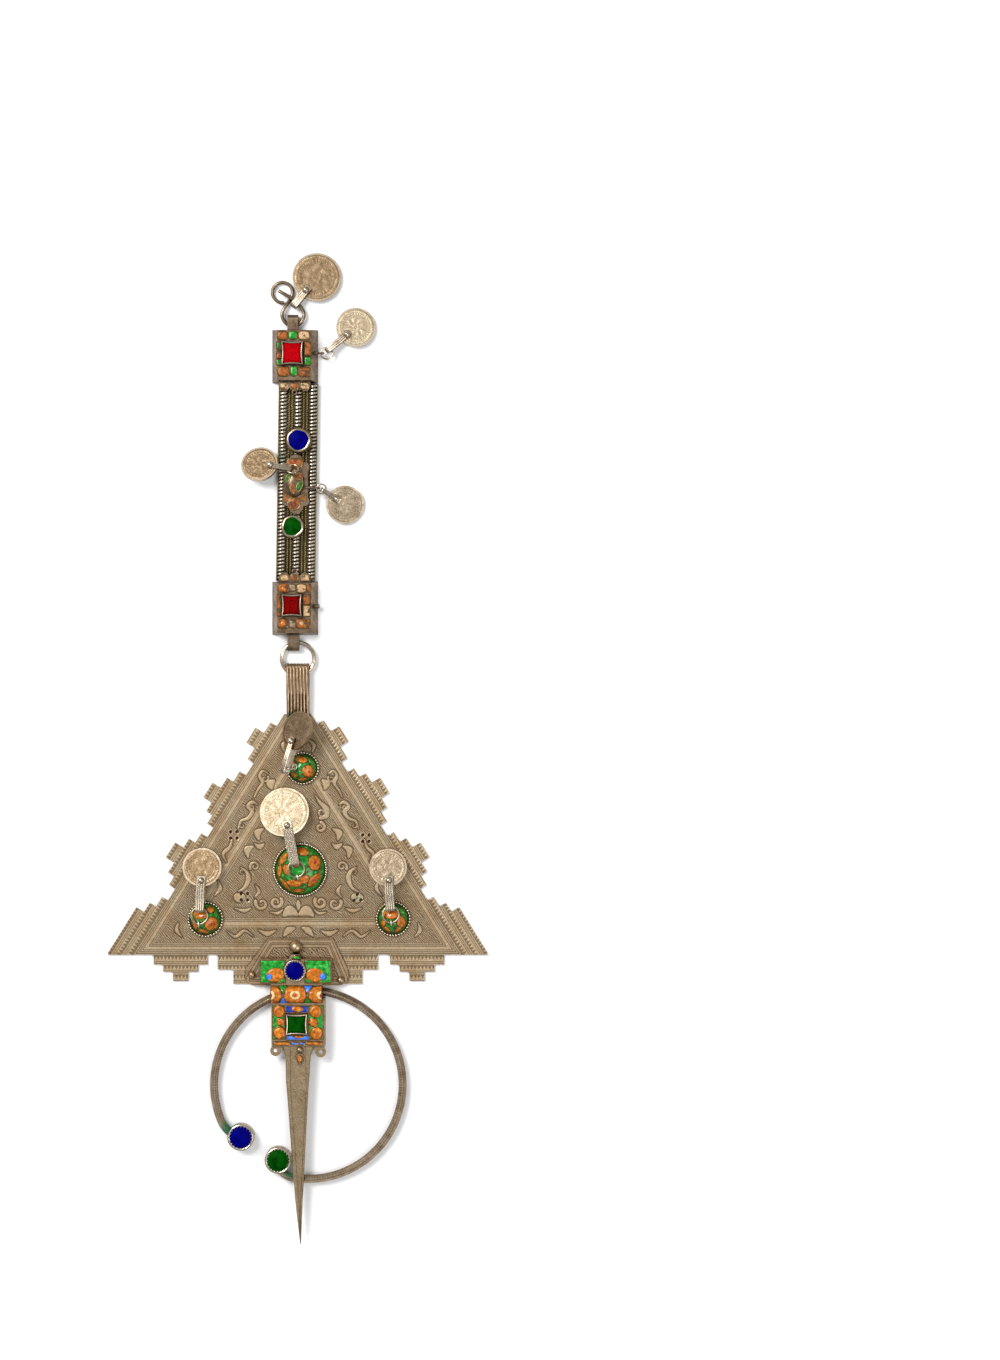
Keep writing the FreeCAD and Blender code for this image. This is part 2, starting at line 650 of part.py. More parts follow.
def wire_loop(x0, x1, end_y, root_y, sign):
    """A strip folded round a wire that runs along X, from its round end to its root.

    sign is the way it points along Y.
    """
    half = (NECK_CAVITY + 2 * NECK_T) / 2
    mid_y = end_y - sign * half
    y_low, y_high = sorted((mid_y, root_y))
    outer = block(x0, x1, y_low, y_high, 0, 2 * half)
    outer = outer.fuse(Part.makeCylinder(half, x1 - x0, Vec(x0, mid_y, half), Vec(1, 0, 0)))
    inner_root = root_y + sign * 1.0
    c_low, c_high = sorted((mid_y, inner_root))
    room = block(x0 - 1, x1 + 1, c_low, c_high, NECK_T, NECK_T + NECK_CAVITY)
    room = room.fuse(Part.makeCylinder(half - NECK_T, x1 - x0 + 2, Vec(x0 - 1, mid_y, half), Vec(1, 0, 0)))
    return outer.cut(room)


def make_neck_loop():
    """The broad ribbed band that is folded over the link ring and lies down on the apex of the plate."""
    x0, x1 = NECK_X
    fold = wire_loop(x0, x1, NECK_END_Y, NECK_FOLD_Y, 1)
    top = NECK_CAVITY + 2 * NECK_T
    z0 = PLATE_T + GAP
    side = [
        (NECK_FOLD_Y + GAP, 0.0),
        (NECK_FOLD_Y + GAP, top),
        (NECK_SLOPE_Y[1], top),
        (NECK_SLOPE_Y[0], z0 + NECK_T),
        (NECK_ROOT_Y, z0 + NECK_T),
        (NECK_ROOT_Y, z0),
        (NECK_FOOT_Y, z0),
        (NECK_FOOT_Y, 0.0),
    ]
    corners = [Vec(x0, y, z) for y, z in side]
    web = Part.Face(Part.makePolygon(corners + corners[:1])).extrude(Vec(x1 - x0, 0, 0))
    return fold.fuse(web)


def make_block(y0, y1, stone):
    """One box-shaped block with sloping sides and the high seat of its square stone."""
    x0, x1 = BLOCK_X
    ix, iy = BLOCK_INSET
    solid = frustum((x0, x1, y0, y1), (x0 + ix, x1 - ix, y0 + iy, y1 - iy), 0, BLOCK_TOP_Z)
    x, y, half_x, half_y = stone
    solid = solid.fuse(square_seat(x, y, BLOCK_TOP_Z, half_x, half_y))
    return solid


def make_lobes(y0, way):
    """The scalloped filigree edge that a block lays on the band; way is the direction it points."""
    z0 = BAND_TOP_Z + GAP
    edge = None
    for x in LOBE_X:
        lobe = disc(x, y0 + way * LOBE_OUT, z0, LOBE_R, LOBE_T)
        edge = lobe if edge is None else edge.fuse(lobe)
    y_low, y_high = sorted((y0 - way * 1.5, y0 + way * LOBE_OUT))
    left, right = LOBE_STRIP_X
    edge = edge.fuse(block(left, right, y_low, y_high, z0, z0 + LOBE_T))
    ring_y = y0 + way * LOBE_RING_OUT
    return edge.fuse(torus(Vec(LOBE_X[1], ring_y, z0 + 0.65), LOBE_RING_R, LOBE_RING_WIRE_R))


def make_lower_block():
    y0, y1 = LOWER_BLOCK_Y
    solid = make_block(y0, y1, LOWER_STONE)
    left, right, end_y = LOWER_TUBE
    solid = solid.fuse(wire_loop(left, right, end_y, y0 + 0.3, -1))
    solid = solid.fuse(rod(*LOWER_STUB, LOWER_STUB_R))
    return solid.fuse(make_lobes(y1, 1))


def make_upper_block(eye, tangent):
    y0, y1 = UPPER_BLOCK_Y
    solid = make_block(y0, y1, UPPER_STONE)
    left, right, end_y = UPPER_TUBE
    solid = solid.fuse(wire_loop(left, right, end_y, y1 - 0.3, 1))
    solid = solid.fuse(make_lobes(y0, -1))
    return eye_on(solid, eye, tangent, Vec(UPPER_EYE_FOOT_X, eye.y, eye.z))


def lean(shape):
    """Turns a piece of the strap by the band's small lean."""
    shape.rotate(Vec(BAND_MIDDLE[0], BAND_MIDDLE[1], 0), UP, BAND_LEAN)
    return shape


def make_band():
    """The strap: a long plate that carries three coiled columns and six lengthwise wires."""
    y0, y1 = BAND_Y
    mid = BAND_MIDDLE[0]
    band = block(mid - BAND_HALF, mid + BAND_HALF, y0, y1, 0, BAND_BASE_T)
    for u in COLUMNS:
        column = Part.makeCylinder(COLUMN_R, y1 - y0, Vec(mid + u, y0, BAND_BASE_T), Vec(0, 1, 0))
        band = band.fuse(column.common(block(-20, 20, y0, y1, 0.5, 9)))
    for u in STRAP_WIRES:
        start = Vec(mid + u, y0, BAND_BASE_T + 0.5)
        band = band.fuse(Part.makeCylinder(STRAP_WIRE_R, y1 - y0, start, Vec(0, 1, 0)))
    return lean(band)


def make_stud(x, y, base_r, stone_r):
    """A stone's setting: a flared foot under a plain cup."""
    z0 = BAND_TOP_Z + GAP
    foot = Part.makeCone(base_r, stone_r + 0.9, 1.6, Vec(x, y, z0))
    cup = disc(x, y, z0, stone_r + 0.7, STUD_TOP_Z - z0)
    return foot.fuse(cup).cut(disc(x, y, STUD_TOP_Z - 1.8, stone_r + GAP, 9))


def make_motif(eye, tangent, side_eye, side_tangent):
    """The long enamelled mount in the middle of the strap, with its dome and two eyes."""
    z0 = BAND_TOP_Z + GAP
    x0, x1 = MOTIF_X
    y0, y1 = MOTIF_Y
    mid = (x0 + x1) / 2
    half = (x1 - x0) / 2
    body = block(x0 + 0.6, x1 - 0.6, y0 + 4.5, y1 - 4.5, z0, z0 + MOTIF_T)
    for y in (y0 + MOTIF_END_R, y1 - MOTIF_END_R):
        body = body.fuse(disc(mid, y, z0, MOTIF_END_R, MOTIF_T))
    for y in (y0 + MOTIF_LOBE_IN, y1 - MOTIF_LOBE_IN):
        for x in (mid - half + MOTIF_LOBE_R, mid + half - MOTIF_LOBE_R):
            body = body.fuse(disc(x, y, z0, MOTIF_LOBE_R, MOTIF_T))
    x, y, half_x, half_y, rise = MOTIF_DOME
    scale = FreeCAD.Matrix()
    scale.scale(half_x, half_y, rise)
    dome = Part.makeSphere(1.0).common(block(-2, 2, -2, 2, -0.05, 2)).transformGeometry(scale)
    dome.translate(Vec(x, y, z0 + MOTIF_T))
    body = body.fuse(dome)
    body = eye_on(body, eye, tangent, Vec(eye.x, eye.y - 0.8, z0 + 0.3))
    arm = rod(Vec(x1 - 2.0, side_eye.y, z0 + 0.75), Vec(side_eye.x - EYE_R, side_eye.y, z0 + 0.75), 0.7)
    return body.fuse(arm).fuse(torus(side_eye, EYE_R, EYE_WIRE_R, side_tangent))


def pear_point(bearing):
    turn = math.radians(bearing)
    return Vec(PEAR[0] + PEAR[2] * math.cos(turn), PEAR[1] + PEAR[2] * math.sin(turn), HOOK_Z)


def hook_strand():
    """The middle of the pear loop's right strand, where the bail of the top coin hangs."""
    return (pear_point(PEAR_RIGHT) + HOOK_KNOT + HOOK_CROSSING) * 0.5


def hook_path():
    """The points that the hook's wire is bent through."""
    points = [HOOK_TAIL + HOOK_CROSSING, HOOK_KNOT + HOOK_CROSSING]
    turn = (180.0 + 2 * PEAR_RIGHT) / PEAR_STEPS
    for step in range(PEAR_STEPS + 1):
        points.append(pear_point(PEAR_RIGHT - step * turn))
    points.append(HOOK_KNOT - HOOK_CROSSING * 0.95)
    rx, ry, ring_r = HOOK_RING
    start = math.degrees(math.atan2(HOOK_KNOT.y - ry, HOOK_KNOT.x - rx))
    for step in range(HOOK_RING_STEP, HOOK_RING_END + 1, HOOK_RING_STEP):
        turn = math.radians(start + step)
        points.append(Vec(rx + ring_r * math.cos(turn), ry + ring_r * math.sin(turn), HOOK_RING_Z))
    return points


def make_hook():
    """The S-shaped hook: a pear loop below, a ring above, and its tail inside the ring."""
    path = Part.BSplineCurve()
    path.interpolate(hook_path())
    start = path.FirstParameter
    circle = Part.Circle(path.value(start), path.tangent(start)[0], HOOK_WIRE_R)
    return Part.Wire(path.toShape()).makePipeShell([Part.Wire(circle.toShape())], True, True)


def make_rings():
    """Every jump ring by name, each set by where its coin lies."""
    rings = {}
    for name, (x, y, z, radius, wire) in LEVEL_RINGS.items():
        rings[name] = level_ring(x, y, z, radius, wire, COINS[name][:2])
    high, low = TOP_RING_ENDS
    middle = (high + low) * 0.5
    reach = (high - low).Length / 2
    rings["top"] = Ring(middle, reach, RING_WIRE_R, high - middle, TOP_RING_STEEP)
    tilt = math.radians(SIDE_RING_TILT)
    steep = Vec(0, -math.cos(tilt), math.sin(tilt))
    rings["strap_left"] = Ring(SIDE_RING, SIDE_RING_R, RING_WIRE_R, Vec(-1, 0, 0), steep)
    return rings


def make_drops(rings):
    """Every coin on its bail by name."""
    drops = {}
    for name, (x, y, radius, options) in COINS.items():
        loop = hook_strand() if name == "hook" else rings[name].point(BEARINGS[name][1])
        drops[name] = Drop(x, y, radius, loop, **options)
    return drops


def square_stone(stone, rise):
    """The cut stone of a strap block, a gap inside its seat."""
    x, y, half_x, half_y = stone
    return cut_stone(x, y, BLOCK_TOP_Z + GAP, half_x - GAP, half_y - GAP, STONE_GIRDLE, rise)


def make_all():
    """Every piece of the brooch by its node's name."""
    rings = make_rings()
    drops = make_drops(rings)
    eyes = {}
    for name, ring in rings.items():
        bearing = BEARINGS[name][0]
        eyes[name] = (ring.point(bearing), ring.tangent(bearing))
    green_x = SQUARE_HALF[0] - SEAT_WALL - GAP
    green_y = SQUARE_HALF[1] - SEAT_WALL - GAP
    green_z = BOX_TOP_Z + GAP
    parts = {
        "plate": make_plate(),
        "head_plate": make_head_plate(),
        "head_block": make_head_block(),
        "head_stone_blue": cabochon(*BLUE_SEAT, CROSS_TOP_Z - 0.4, BLUE_SEAT_R - 0.6, 2.2, 1.0),
        "head_stone_green": cut_stone(*SQUARE_SEAT, green_z, green_x, green_y, STONE_GIRDLE, 0.8),
        "pin": make_pin(),
        "hoop": make_hoop(),
        "neck_loop": make_neck_loop(),
        "link_ring": torus(Vec(*LINK), LINK_R, LINK_WIRE_R),
        "strap_block_lower": make_lower_block(),
        "strap_stone_lower": square_stone(LOWER_STONE, 0.9),
        "strap_band": make_band(),
        "strap_mount": make_motif(*eyes["strap_left"], *eyes["strap_right"]),
        "strap_block_upper": make_upper_block(*eyes["block"]),
        "strap_stone_upper": square_stone(UPPER_STONE, 0.9),
        "strap_hook": make_hook(),
    }
    for colour, (x, y) in (("blue", BLUE_CUP), ("green", GREEN_CUP)):
        stone = cabochon(x, y, CUP_TOP_Z - 1.5, CUP_R - CUP_WALL - GAP, 1.4, 1.0)
        parts[f"hoop_stone_{colour}"] = stone
    for colour, (x, y, base_r, stone_r) in STUDS.items():
        parts[f"strap_stud_{colour}"] = make_stud(x, y, base_r, stone_r)
        parts[f"strap_stone_{colour}"] = cabochon(x, y, STUD_TOP_Z - 1.7, stone_r, 1.6, 1.1)
    for name in BOSSES:
        parts[f"boss_{name}"] = make_boss(name, *eyes[name])
    for name, ring in rings.items():
        parts[f"jump_ring_{name}"] = ring.solid()
    for name, drop in drops.items():
        parts[f"coin_{name}"] = drop.coin()
        parts[f"coin_bail_{name}"] = drop.bail()
    return parts


def main():
    os.makedirs("parts", exist_ok=True)
    for name, shape in make_all().items():
        solid = one_solid(name, shape)
        solid.exportStep(f"parts/{name}.step")
        box = solid.BoundBox
        print(
            f"{name:20s} X {box.XMin:8.2f} {box.XMax:8.2f}  Y {box.YMin:8.2f} {box.YMax:8.2f}"
            f"  Z {box.ZMin:6.2f} {box.ZMax:6.2f}  {solid.Volume:9.1f} mm3"
        )


main()
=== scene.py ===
# %% [markdown]
# # A plate brooch of the Anti-Atlas kind, laid out on white
# The brooch is a flat triangle of engraved silver with enamelled domes, coins, a hoop, a long pin
# and a strap. It lies on a white table and the camera looks straight down at it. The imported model
# gives every solid in its place, and this script gives each of them its surface, and adds what is
# too fine for a solid: engraving, enamel cells and their wires, granules, coiled wire and coin relief.
# All sizes below are millimetres, turned into metres by MM.

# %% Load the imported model
import bmesh
import bpy
import math
import numpy as np
from mathutils import Matrix, Vector, geometry


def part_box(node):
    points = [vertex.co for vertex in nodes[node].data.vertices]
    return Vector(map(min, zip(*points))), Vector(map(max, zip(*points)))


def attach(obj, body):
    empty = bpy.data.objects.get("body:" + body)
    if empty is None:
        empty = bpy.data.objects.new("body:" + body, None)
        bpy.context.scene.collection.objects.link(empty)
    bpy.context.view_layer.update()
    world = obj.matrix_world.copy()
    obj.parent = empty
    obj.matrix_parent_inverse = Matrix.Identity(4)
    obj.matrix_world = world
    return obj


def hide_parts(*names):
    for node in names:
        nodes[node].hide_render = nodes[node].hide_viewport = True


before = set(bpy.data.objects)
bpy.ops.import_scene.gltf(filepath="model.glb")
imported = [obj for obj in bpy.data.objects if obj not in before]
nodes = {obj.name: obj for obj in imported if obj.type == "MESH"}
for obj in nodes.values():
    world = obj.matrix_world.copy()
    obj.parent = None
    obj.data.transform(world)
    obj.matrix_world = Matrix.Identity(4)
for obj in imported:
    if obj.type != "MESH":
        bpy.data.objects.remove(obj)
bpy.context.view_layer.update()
MM = 0.001
UP = Vector((0, 0, 1))

# %% [markdown]
# ## Camera
# A tabletop photograph of flat jewellery is taken with a long lens from straight above, so that
# nothing leans. The frame is 1000 by 1360 and shows 470 mm of table across. The brooch lies left of
# its middle.

# %% Camera
FRAME_HEIGHT = 639.2 * MM
CAMERA_HEIGHT = 1.25
SENSOR = 36.0
camera_data = bpy.data.cameras.new("camera")
camera_data.sensor_fit = "VERTICAL"
camera_data.sensor_height = SENSOR
camera_data.lens = SENSOR * CAMERA_HEIGHT / FRAME_HEIGHT
camera = bpy.data.objects.new("camera", camera_data)
camera.location = (95.0 * MM, 31.8 * MM, CAMERA_HEIGHT)
bpy.context.scene.collection.objects.link(camera)
bpy.context.scene.camera = camera
bpy.context.scene.view_settings.view_transform = "Standard"

# %% [markdown]
# ## Materials
# One function turns a web colour into the linear numbers a shader wants, one adds a node with its
# settings and links, and short ones on top of it blend, remap and measure. So every material below
# reads as a list of layers.

# %% Colour and node helpers
def linear(code, alpha=1.0):
    """A web colour such as "#9c8c78" as linear red, green, blue and alpha."""
    parts = [int(code[i:i + 2], 16) / 255 for i in (1, 3, 5)]
    return tuple(p / 12.92 if p <= 0.04045 else ((p + 0.055) / 1.055) ** 2.4 for p in parts) + (alpha,)


def plug(tree, node, inputs):
    """Fills sockets of a node, each with a value or with a link from another socket."""
    for key, value in inputs.items():
        if isinstance(value, bpy.types.NodeSocket):
            tree.links.new(value, node.inputs[key])
        else:
            node.inputs[key].default_value = value


def add(tree, kind, inputs=(), **settings):
    """Adds a node: settings are its own fields, inputs its sockets."""
    node = tree.nodes.new("ShaderNode" + kind)
    for field, value in settings.items():
        setattr(node, field, value)
    plug(tree, node, dict(inputs))
    return node


def mix(tree, share, low, high):
    """Blends two numbers: low at a share of 0, high at 1."""
    return add(tree, "Mix", {0: share, 2: low, 3: high}).outputs[0]


def mix_colour(tree, share, low, high):
    """Blends two colours, each a web colour or a socket."""
    low, high = (linear(colour) if isinstance(colour, str) else colour for colour in (low, high))
    return add(tree, "Mix", {0: share, 6: low, 7: high}, data_type="RGBA").outputs[2]


def remap(tree, value, low, high, to_low=0.0, to_high=1.0):
    """Carries low..high onto to_low..to_high, and stays at the ends outside it."""
    return add(tree, "MapRange", {0: value, 1: low, 2: high, 3: to_low, 4: to_high}).outputs[0]


def maths(tree, operation, *values):
    return add(tree, "Math", dict(enumerate(values)), operation=operation).outputs[0]


def measure(tree, operation, *vectors):
    """A number taken from vectors: a distance, a length or a dot product."""
    return add(tree, "VectorMath", dict(enumerate(vectors)), operation=operation).outputs["Value"]


def noise(tree, mm, scale, detail, roughness=0.5):
    inputs = {"Vector": mm, "Scale": scale, "Detail": detail, "Roughness": roughness}
    return add(tree, "TexNoise", inputs).outputs[0]


def ramp(tree, value, stops, stepped=False):
    """Tones or web colours at places from 0 to 1, blended between them or stepped."""
    node = add(tree, "ValToRGB", {0: value})
    marks = node.color_ramp.elements
    while len(marks) < len(stops):
        marks.new(0.5)
    for mark, (place, colour) in zip(marks, stops):
        mark.position = place
        mark.color = linear(colour) if isinstance(colour, str) else (colour, colour, colour, 1.0)
    if stepped:
        node.color_ramp.interpolation = "CONSTANT"
    return node.outputs[0]


def banded(tree, value, low, high, strips):
    """Strips of even tone. Each is the value it starts from and its tone."""
    stops = [((start - low) / (high - low), tone) for start, tone in strips]
    return ramp(tree, remap(tree, value, low, high), stops, stepped=True)


def open_air(tree, reach, low, high):
    """From 0 in a hollow to 1 where nothing stands within reach, in millimetres."""
    air = add(tree, "AmbientOcclusion", {"Distance": reach * MM}, samples=6)
    return remap(tree, air.outputs["AO"], low, high)


def bumped(tree, height, depth, **inputs):
    settings = {"Height": height, "Distance": depth * MM, "Strength": 1.0, **inputs}
    return add(tree, "Bump", settings).outputs[0]


def shader(name):
    """A new material with its tree, its shader and the object coordinates in millimetres."""
    material = bpy.data.materials.new(name)
    material.use_nodes = True
    tree = material.node_tree
    surface = next(n for n in tree.nodes if n.type == "BSDF_PRINCIPLED")
    place = add(tree, "TexCoord")
    in_mm = add(tree, "VectorMath", {0: place.outputs["Object"], 3: 1 / MM}, operation="SCALE")
    return material, tree, surface, in_mm.outputs[0]


# %% [markdown]
# ### Old silver
# The brooch is low-grade silver that has been worn and put away for decades. High places are
# rubbed pale and warm, and brown tarnish stays in every hollow. So each silver goes from a pale to a
# middle tone in slow clouds a few millimetres across, has a fine grain over them, and turns to a dark
# tone where the surface is shut in by its neighbours, which the Ambient Occlusion node measures.

# %% Silver
GRAIN = 0.5
ENGRAVING_DEPTH = 0.07
VERDIGRIS = "#2a7a55"


def make_silver(name, pale, mid, dark, roughness, cloud=7.0, hollow=1.4, bump=0.02, engraving=None,
                verdigris=()):
    """Tarnished silver. A spot of verdigris is x, y, z, its reach and how thickly it has grown."""
    material, tree, surface, mm = shader(name)
    clouds = noise(tree, mm, 1 / cloud, 5.0, 0.62)
    grains = noise(tree, mm, 1 / GRAIN, 3.0)
    tones = ramp(tree, clouds, [(0.32, mid), (0.68, pale)])
    spots = remap(tree, grains, 0.35, 0.7, 0.72, 1.12)
    tinted = add(tree, "VectorMath", {0: tones, 3: spots}, operation="SCALE").outputs[0]
    colour = mix_colour(tree, open_air(tree, hollow, 0.35, 0.85), dark, tinted)
    rough = remap(tree, clouds, 0.3, 0.7, roughness + 0.1, roughness - 0.06)
    relief = bumped(tree, grains, bump)
    if engraving:
        tone, cut = engraving(tree, mm)
        colour = mix_colour(tree, tone, dark, colour)
        relief = bumped(tree, cut, ENGRAVING_DEPTH, Normal=relief)
    for x, y, z, reach, share in verdigris:
        gap = measure(tree, "DISTANCE", mm, (x, y, z))
        near = remap(tree, gap, reach, 0.0, share - 0.5, share)
        green = remap(tree, maths(tree, "ADD", near, grains), 0.62, 0.78, 0.0, 0.85)
        grown = maths(tree, "MULTIPLY", green, maths(tree, "LESS_THAN", gap, reach))
        colour = mix_colour(tree, grown, colour, VERDIGRIS)
        rough = mix(tree, grown, rough, 0.85)
    plug(tree, surface, {"Base Color": colour, "Metallic": 1.0, "Roughness": rough, "Normal": relief})
    return material


# Sheet silver with brown tarnish: soft grey-brown, dull.
sheet_silver = make_silver("tarnished sheet silver", "#c0a888", "#967b5d", "#35261a", 0.4, bump=0.03)
# Drawn silver wire, handled more: brighter, with dark gaps.
wire_silver = make_silver("drawn silver wire", "#dfd2bd", "#a8957c", "#2a1f14", 0.26, cloud=3.0, hollow=0.35)
# Cell wires lie low between the enamels and are never rubbed: brown, with a bright crest here and there.
cell_wire = make_silver("unrubbed cell wire", "#b08a55", "#5e4326", "#1e130a", 0.35, cloud=1.6, hollow=0.4)
# Granules stand highest on the plate and are rubbed white.
granule_silver = make_silver("rubbed granules", "#fff4e2", "#e6d6bf", "#6a5844", 0.24, cloud=2.0, hollow=0.2)
# The blocks' boxes: grey-brown, almost black in the corners.
block_silver = make_silver("browned box silver", "#94806a", "#5a4735", "#1a120b", 0.38, cloud=4.0,
                           hollow=2.0, bump=0.04)
# Struck coins, worn pale.
coin_silver = make_silver("struck coin silver", "#cdbba2", "#a38e74", "#4a3a2a", 0.4, cloud=4.0)
pale_coin_silver = make_silver("rubbed coin silver", "#d8c9ae", "#bda98c", "#5c4933", 0.5, cloud=4.0)
brown_coin_silver = make_silver("browned coin silver", "#a08868", "#7c6448", "#33261a", 0.42, cloud=3.0)
# Strap silver has a yellow-olive cast.
strap_silver = make_silver("olive strap silver", "#b3a071", "#6f5f3a", "#1c150a", 0.34, cloud=4.0)
# The wires round the lobes and the mount have a yellow skin.
lobe_wire = make_silver("gilded-looking lobe wire", "#d9c08a", "#9c7f4c", "#2a1f12", 0.3, cloud=2.0,
                        hollow=0.3)
neck_silver = make_silver("browned ribbed silver", "#b59a7c", "#85694e", "#251a10", 0.34, cloud=3.0,
                          hollow=0.8, verdigris=[(-4.0, 15.0, 4.0, 6.0, 0.3)])
hook_silver = make_silver("dark hook wire", "#9c8870", "#675645", "#2a2018", 0.34, cloud=3.0)

# %% Enamel and glass
def make_enamel(name, light, deep, painted_highlight=None, roughness=0.16, cloud=1.6, gloss=0.5):
    """Enamel or glass in two tones, with a third, pale tone as a painted highlight if one is given, and
    painted shade: the deep tone where a wire or a neighbour stands close.
    """
    material, tree, surface, mm = shader(name)
    clouds = noise(tree, mm, 1 / cloud, 4.0, 0.6)
    # the third, palest tone is a painted highlight, scattered in clouds
    tones = ramp(tree, clouds, [(0.3, deep), (0.56, light), (0.72, painted_highlight or light)])
    # painted shade: the deep tone where a wire or a neighbour stands close
    shaded = mix_colour(tree, open_air(tree, 1.0, 0.4, 0.8), deep, tones)
    plug(tree, surface, {"Base Color": shaded, "Roughness": roughness, "Specular IOR Level": gloss})
    return material


def make_stone(name, light, deep, cloud=3.0):
    """A glass stone rubbed matt."""
    return make_enamel(name, light, deep, roughness=0.5, cloud=cloud, gloss=0.02)


CHIP_DEPTH = 0.12


def make_worn_enamel(name, light, deep):
    """Enamel that has partly come away: brown ground metal shows through in patches."""
    material, tree, surface, mm = shader(name)
    tones = ramp(tree, noise(tree, mm, 1 / 1.4, 4.0, 0.6), [(0.3, deep), (0.66, light)])
    bare = remap(tree, noise(tree, mm, 1 / 2.2, 5.0, 0.7), 0.54, 0.58)
    colour = mix_colour(tree, bare, tones, "#54402c")
    chipped = {"Height": bare, "Distance": CHIP_DEPTH * MM, "Strength": 1.0}
    relief = add(tree, "Bump", chipped, invert=True).outputs[0]
    plug(tree, surface, {"Base Color": colour, "Normal": relief, "Roughness": 0.3, "Specular IOR Level": 0.3})
    return material


ENAMELS = {
    # the third colour of a line, where given, is its painted highlight
    "green": make_enamel("green enamel", "#1c9c2a", "#084a10", "#6fd873"),
    "amber": make_enamel("amber enamel", "#cb7216", "#7a3a08", "#efa640"),
    "cream": make_enamel("cream enamel", "#ecd094", "#c99a52", "#fff0c4"),
    "sky": make_enamel("light blue enamel", "#3f7fe4", "#1c4fb4", "#86b6f6"),
    "blue": make_enamel("deep blue enamel", "#1c3fae", "#0d1f66"),
    "red": make_enamel("dull red enamel", "#b02a3c", "#7d1a26"),
    "worn_amber": make_worn_enamel("worn amber enamel", "#b26426", "#6b3814"),
    "worn_green": make_worn_enamel("worn green enamel", "#2c8a20", "#1d4a14"),
    "worn_silver": make_worn_enamel("greyed enamel", "#a89880", "#6c5c48"),
    "worn_cream": make_worn_enamel("worn cream enamel", "#d9b98c", "#a37a50"),
}
blue_glass = make_stone("ultramarine glass", "#000070", "#000044")
green_glass = make_stone("bottle green glass", "#024602", "#002600")
red_glass = make_stone("red glass", "#b0000a", "#820004", cloud=1.0)
dark_red_glass = make_stone("darkened red glass", "#7a0202", "#4a0000", cloud=1.0)

# %% [markdown]
# ## Helpers for the fine work
# Every piece below starts as a bmesh, a mesh that operators build up: circles, spins, extrusions,
# insets. `piece` turns it into an object, with edges sharper than 40 degrees kept crisp, lets it
# ride on its body, and gives it its material.

# %% Turn a bmesh into a piece
def piece(name, bm, material, body="brooch", stands_for=(), crisp=40.0, outward=True):
    bmesh.ops.remove_doubles(bm, verts=bm.verts, dist=0.0005 * MM)
    if outward:
        bmesh.ops.recalc_face_normals(bm, faces=bm.faces)
    for face in bm.faces:
        face.smooth = True
    limit = math.radians(crisp)
    for edge in bm.edges:
        if len(edge.link_faces) == 2 and edge.calc_face_angle(0) > limit:
            edge.smooth = False
    mesh = bpy.data.meshes.new(name)
    bm.to_mesh(mesh)
    triangles = sum(len(f.verts) - 2 for f in bm.faces)
    bm.free()
    made = bpy.data.objects.new(name, mesh)
    mesh.materials.append(material)
    bpy.context.scene.collection.objects.link(made)
    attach(made, body)
    if stands_for:
        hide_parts(*stands_for)
    print(f"{name}: {triangles} triangles")
    return made


# %% [markdown]
# A wire is a small ring that is pushed along a path: extrude the ring's edges, then carry the new
# ring to the next station. Closed wires come back to their first ring and are merged there.

# %% Wires
def stations(points, closed):
    """A frame at each point: the wire's direction is Z, and Y stays as near to up as it can."""
    frames = []
    count = len(points)
    for i, here in enumerate(points):
        before = points[i - 1] if closed or i else here
        after = points[(i + 1) % count] if closed or i < count - 1 else here
        along = (after - before).normalized()
        side = along.cross(UP)
        if side.length < 1e-6:
            side = Vector((1, 0, 0))
        side.normalize()
        turn = Matrix((side, along.cross(side), along)).transposed()
        frames.append(Matrix.Translation(here) @ turn.to_4x4())
    return frames + frames[:1] if closed else frames


def add_wire(bm, points, radius, closed=True, sides=6):
    """Adds one wire of the given radius along points, all in millimetres."""
    wire = bmesh.new()
    frames = stations([Vector(p) for p in points], closed)
    bmesh.ops.create_circle(wire, segments=sides, radius=radius, matrix=frames[0])
    if not closed:
        bmesh.ops.contextual_create(wire, geom=wire.edges[:])
    ring = wire.edges[:]
    for last, step in zip(frames, frames[1:]):
        made = bmesh.ops.extrude_edge_only(wire, edges=ring)["geom"]
        ring = [g for g in made if isinstance(g, bmesh.types.BMEdge)]
        corners = [g for g in made if isinstance(g, bmesh.types.BMVert)]
        bmesh.ops.transform(wire, matrix=step @ last.inverted(), verts=corners)
    if closed:
        bmesh.ops.remove_doubles(wire, verts=wire.verts, dist=0.002)
    else:
        bmesh.ops.contextual_create(wire, geom=ring)
    join(bm, wire)


def join(bm, part):
    """Empties a small bmesh in millimetres into bm, which is in metres."""
    bmesh.ops.scale(part, vec=(MM, MM, MM), verts=part.verts)
    bmesh.ops.recalc_face_normals(part, faces=part.faces)
    step = bpy.data.meshes.new("step")
    part.to_mesh(step)
    bm.from_mesh(step)
    part.free()
    bpy.data.meshes.remove(step)


def add_bead(bm, place, radius, squash=1.0, across=8, up=5):
    """Adds one small ball, a granule or the head of a rivet."""
    bead = bmesh.new()
    form = Matrix.Translation(place) @ Matrix.Diagonal((1, 1, squash, 1))
    bmesh.ops.create_uvsphere(bead, u_segments=across, v_segments=up, radius=radius, matrix=form)
    join(bm, bead)


# %% [markdown]
# Enamel is glass powder melted into a cell of wire, so each cell is a shallow pillow: a skin of small
# triangles whose height is a quarter circle at the wire and level from about a millimetre in. It lies
# on its ground, which is a function that gives the height under any place: a flat, a dome or a barrel.

# %% Outlines and enamel pillows
SQUARENESS = 0.62
PILLOW_STEP = 0.42
WIRE_LIFT = 0.1


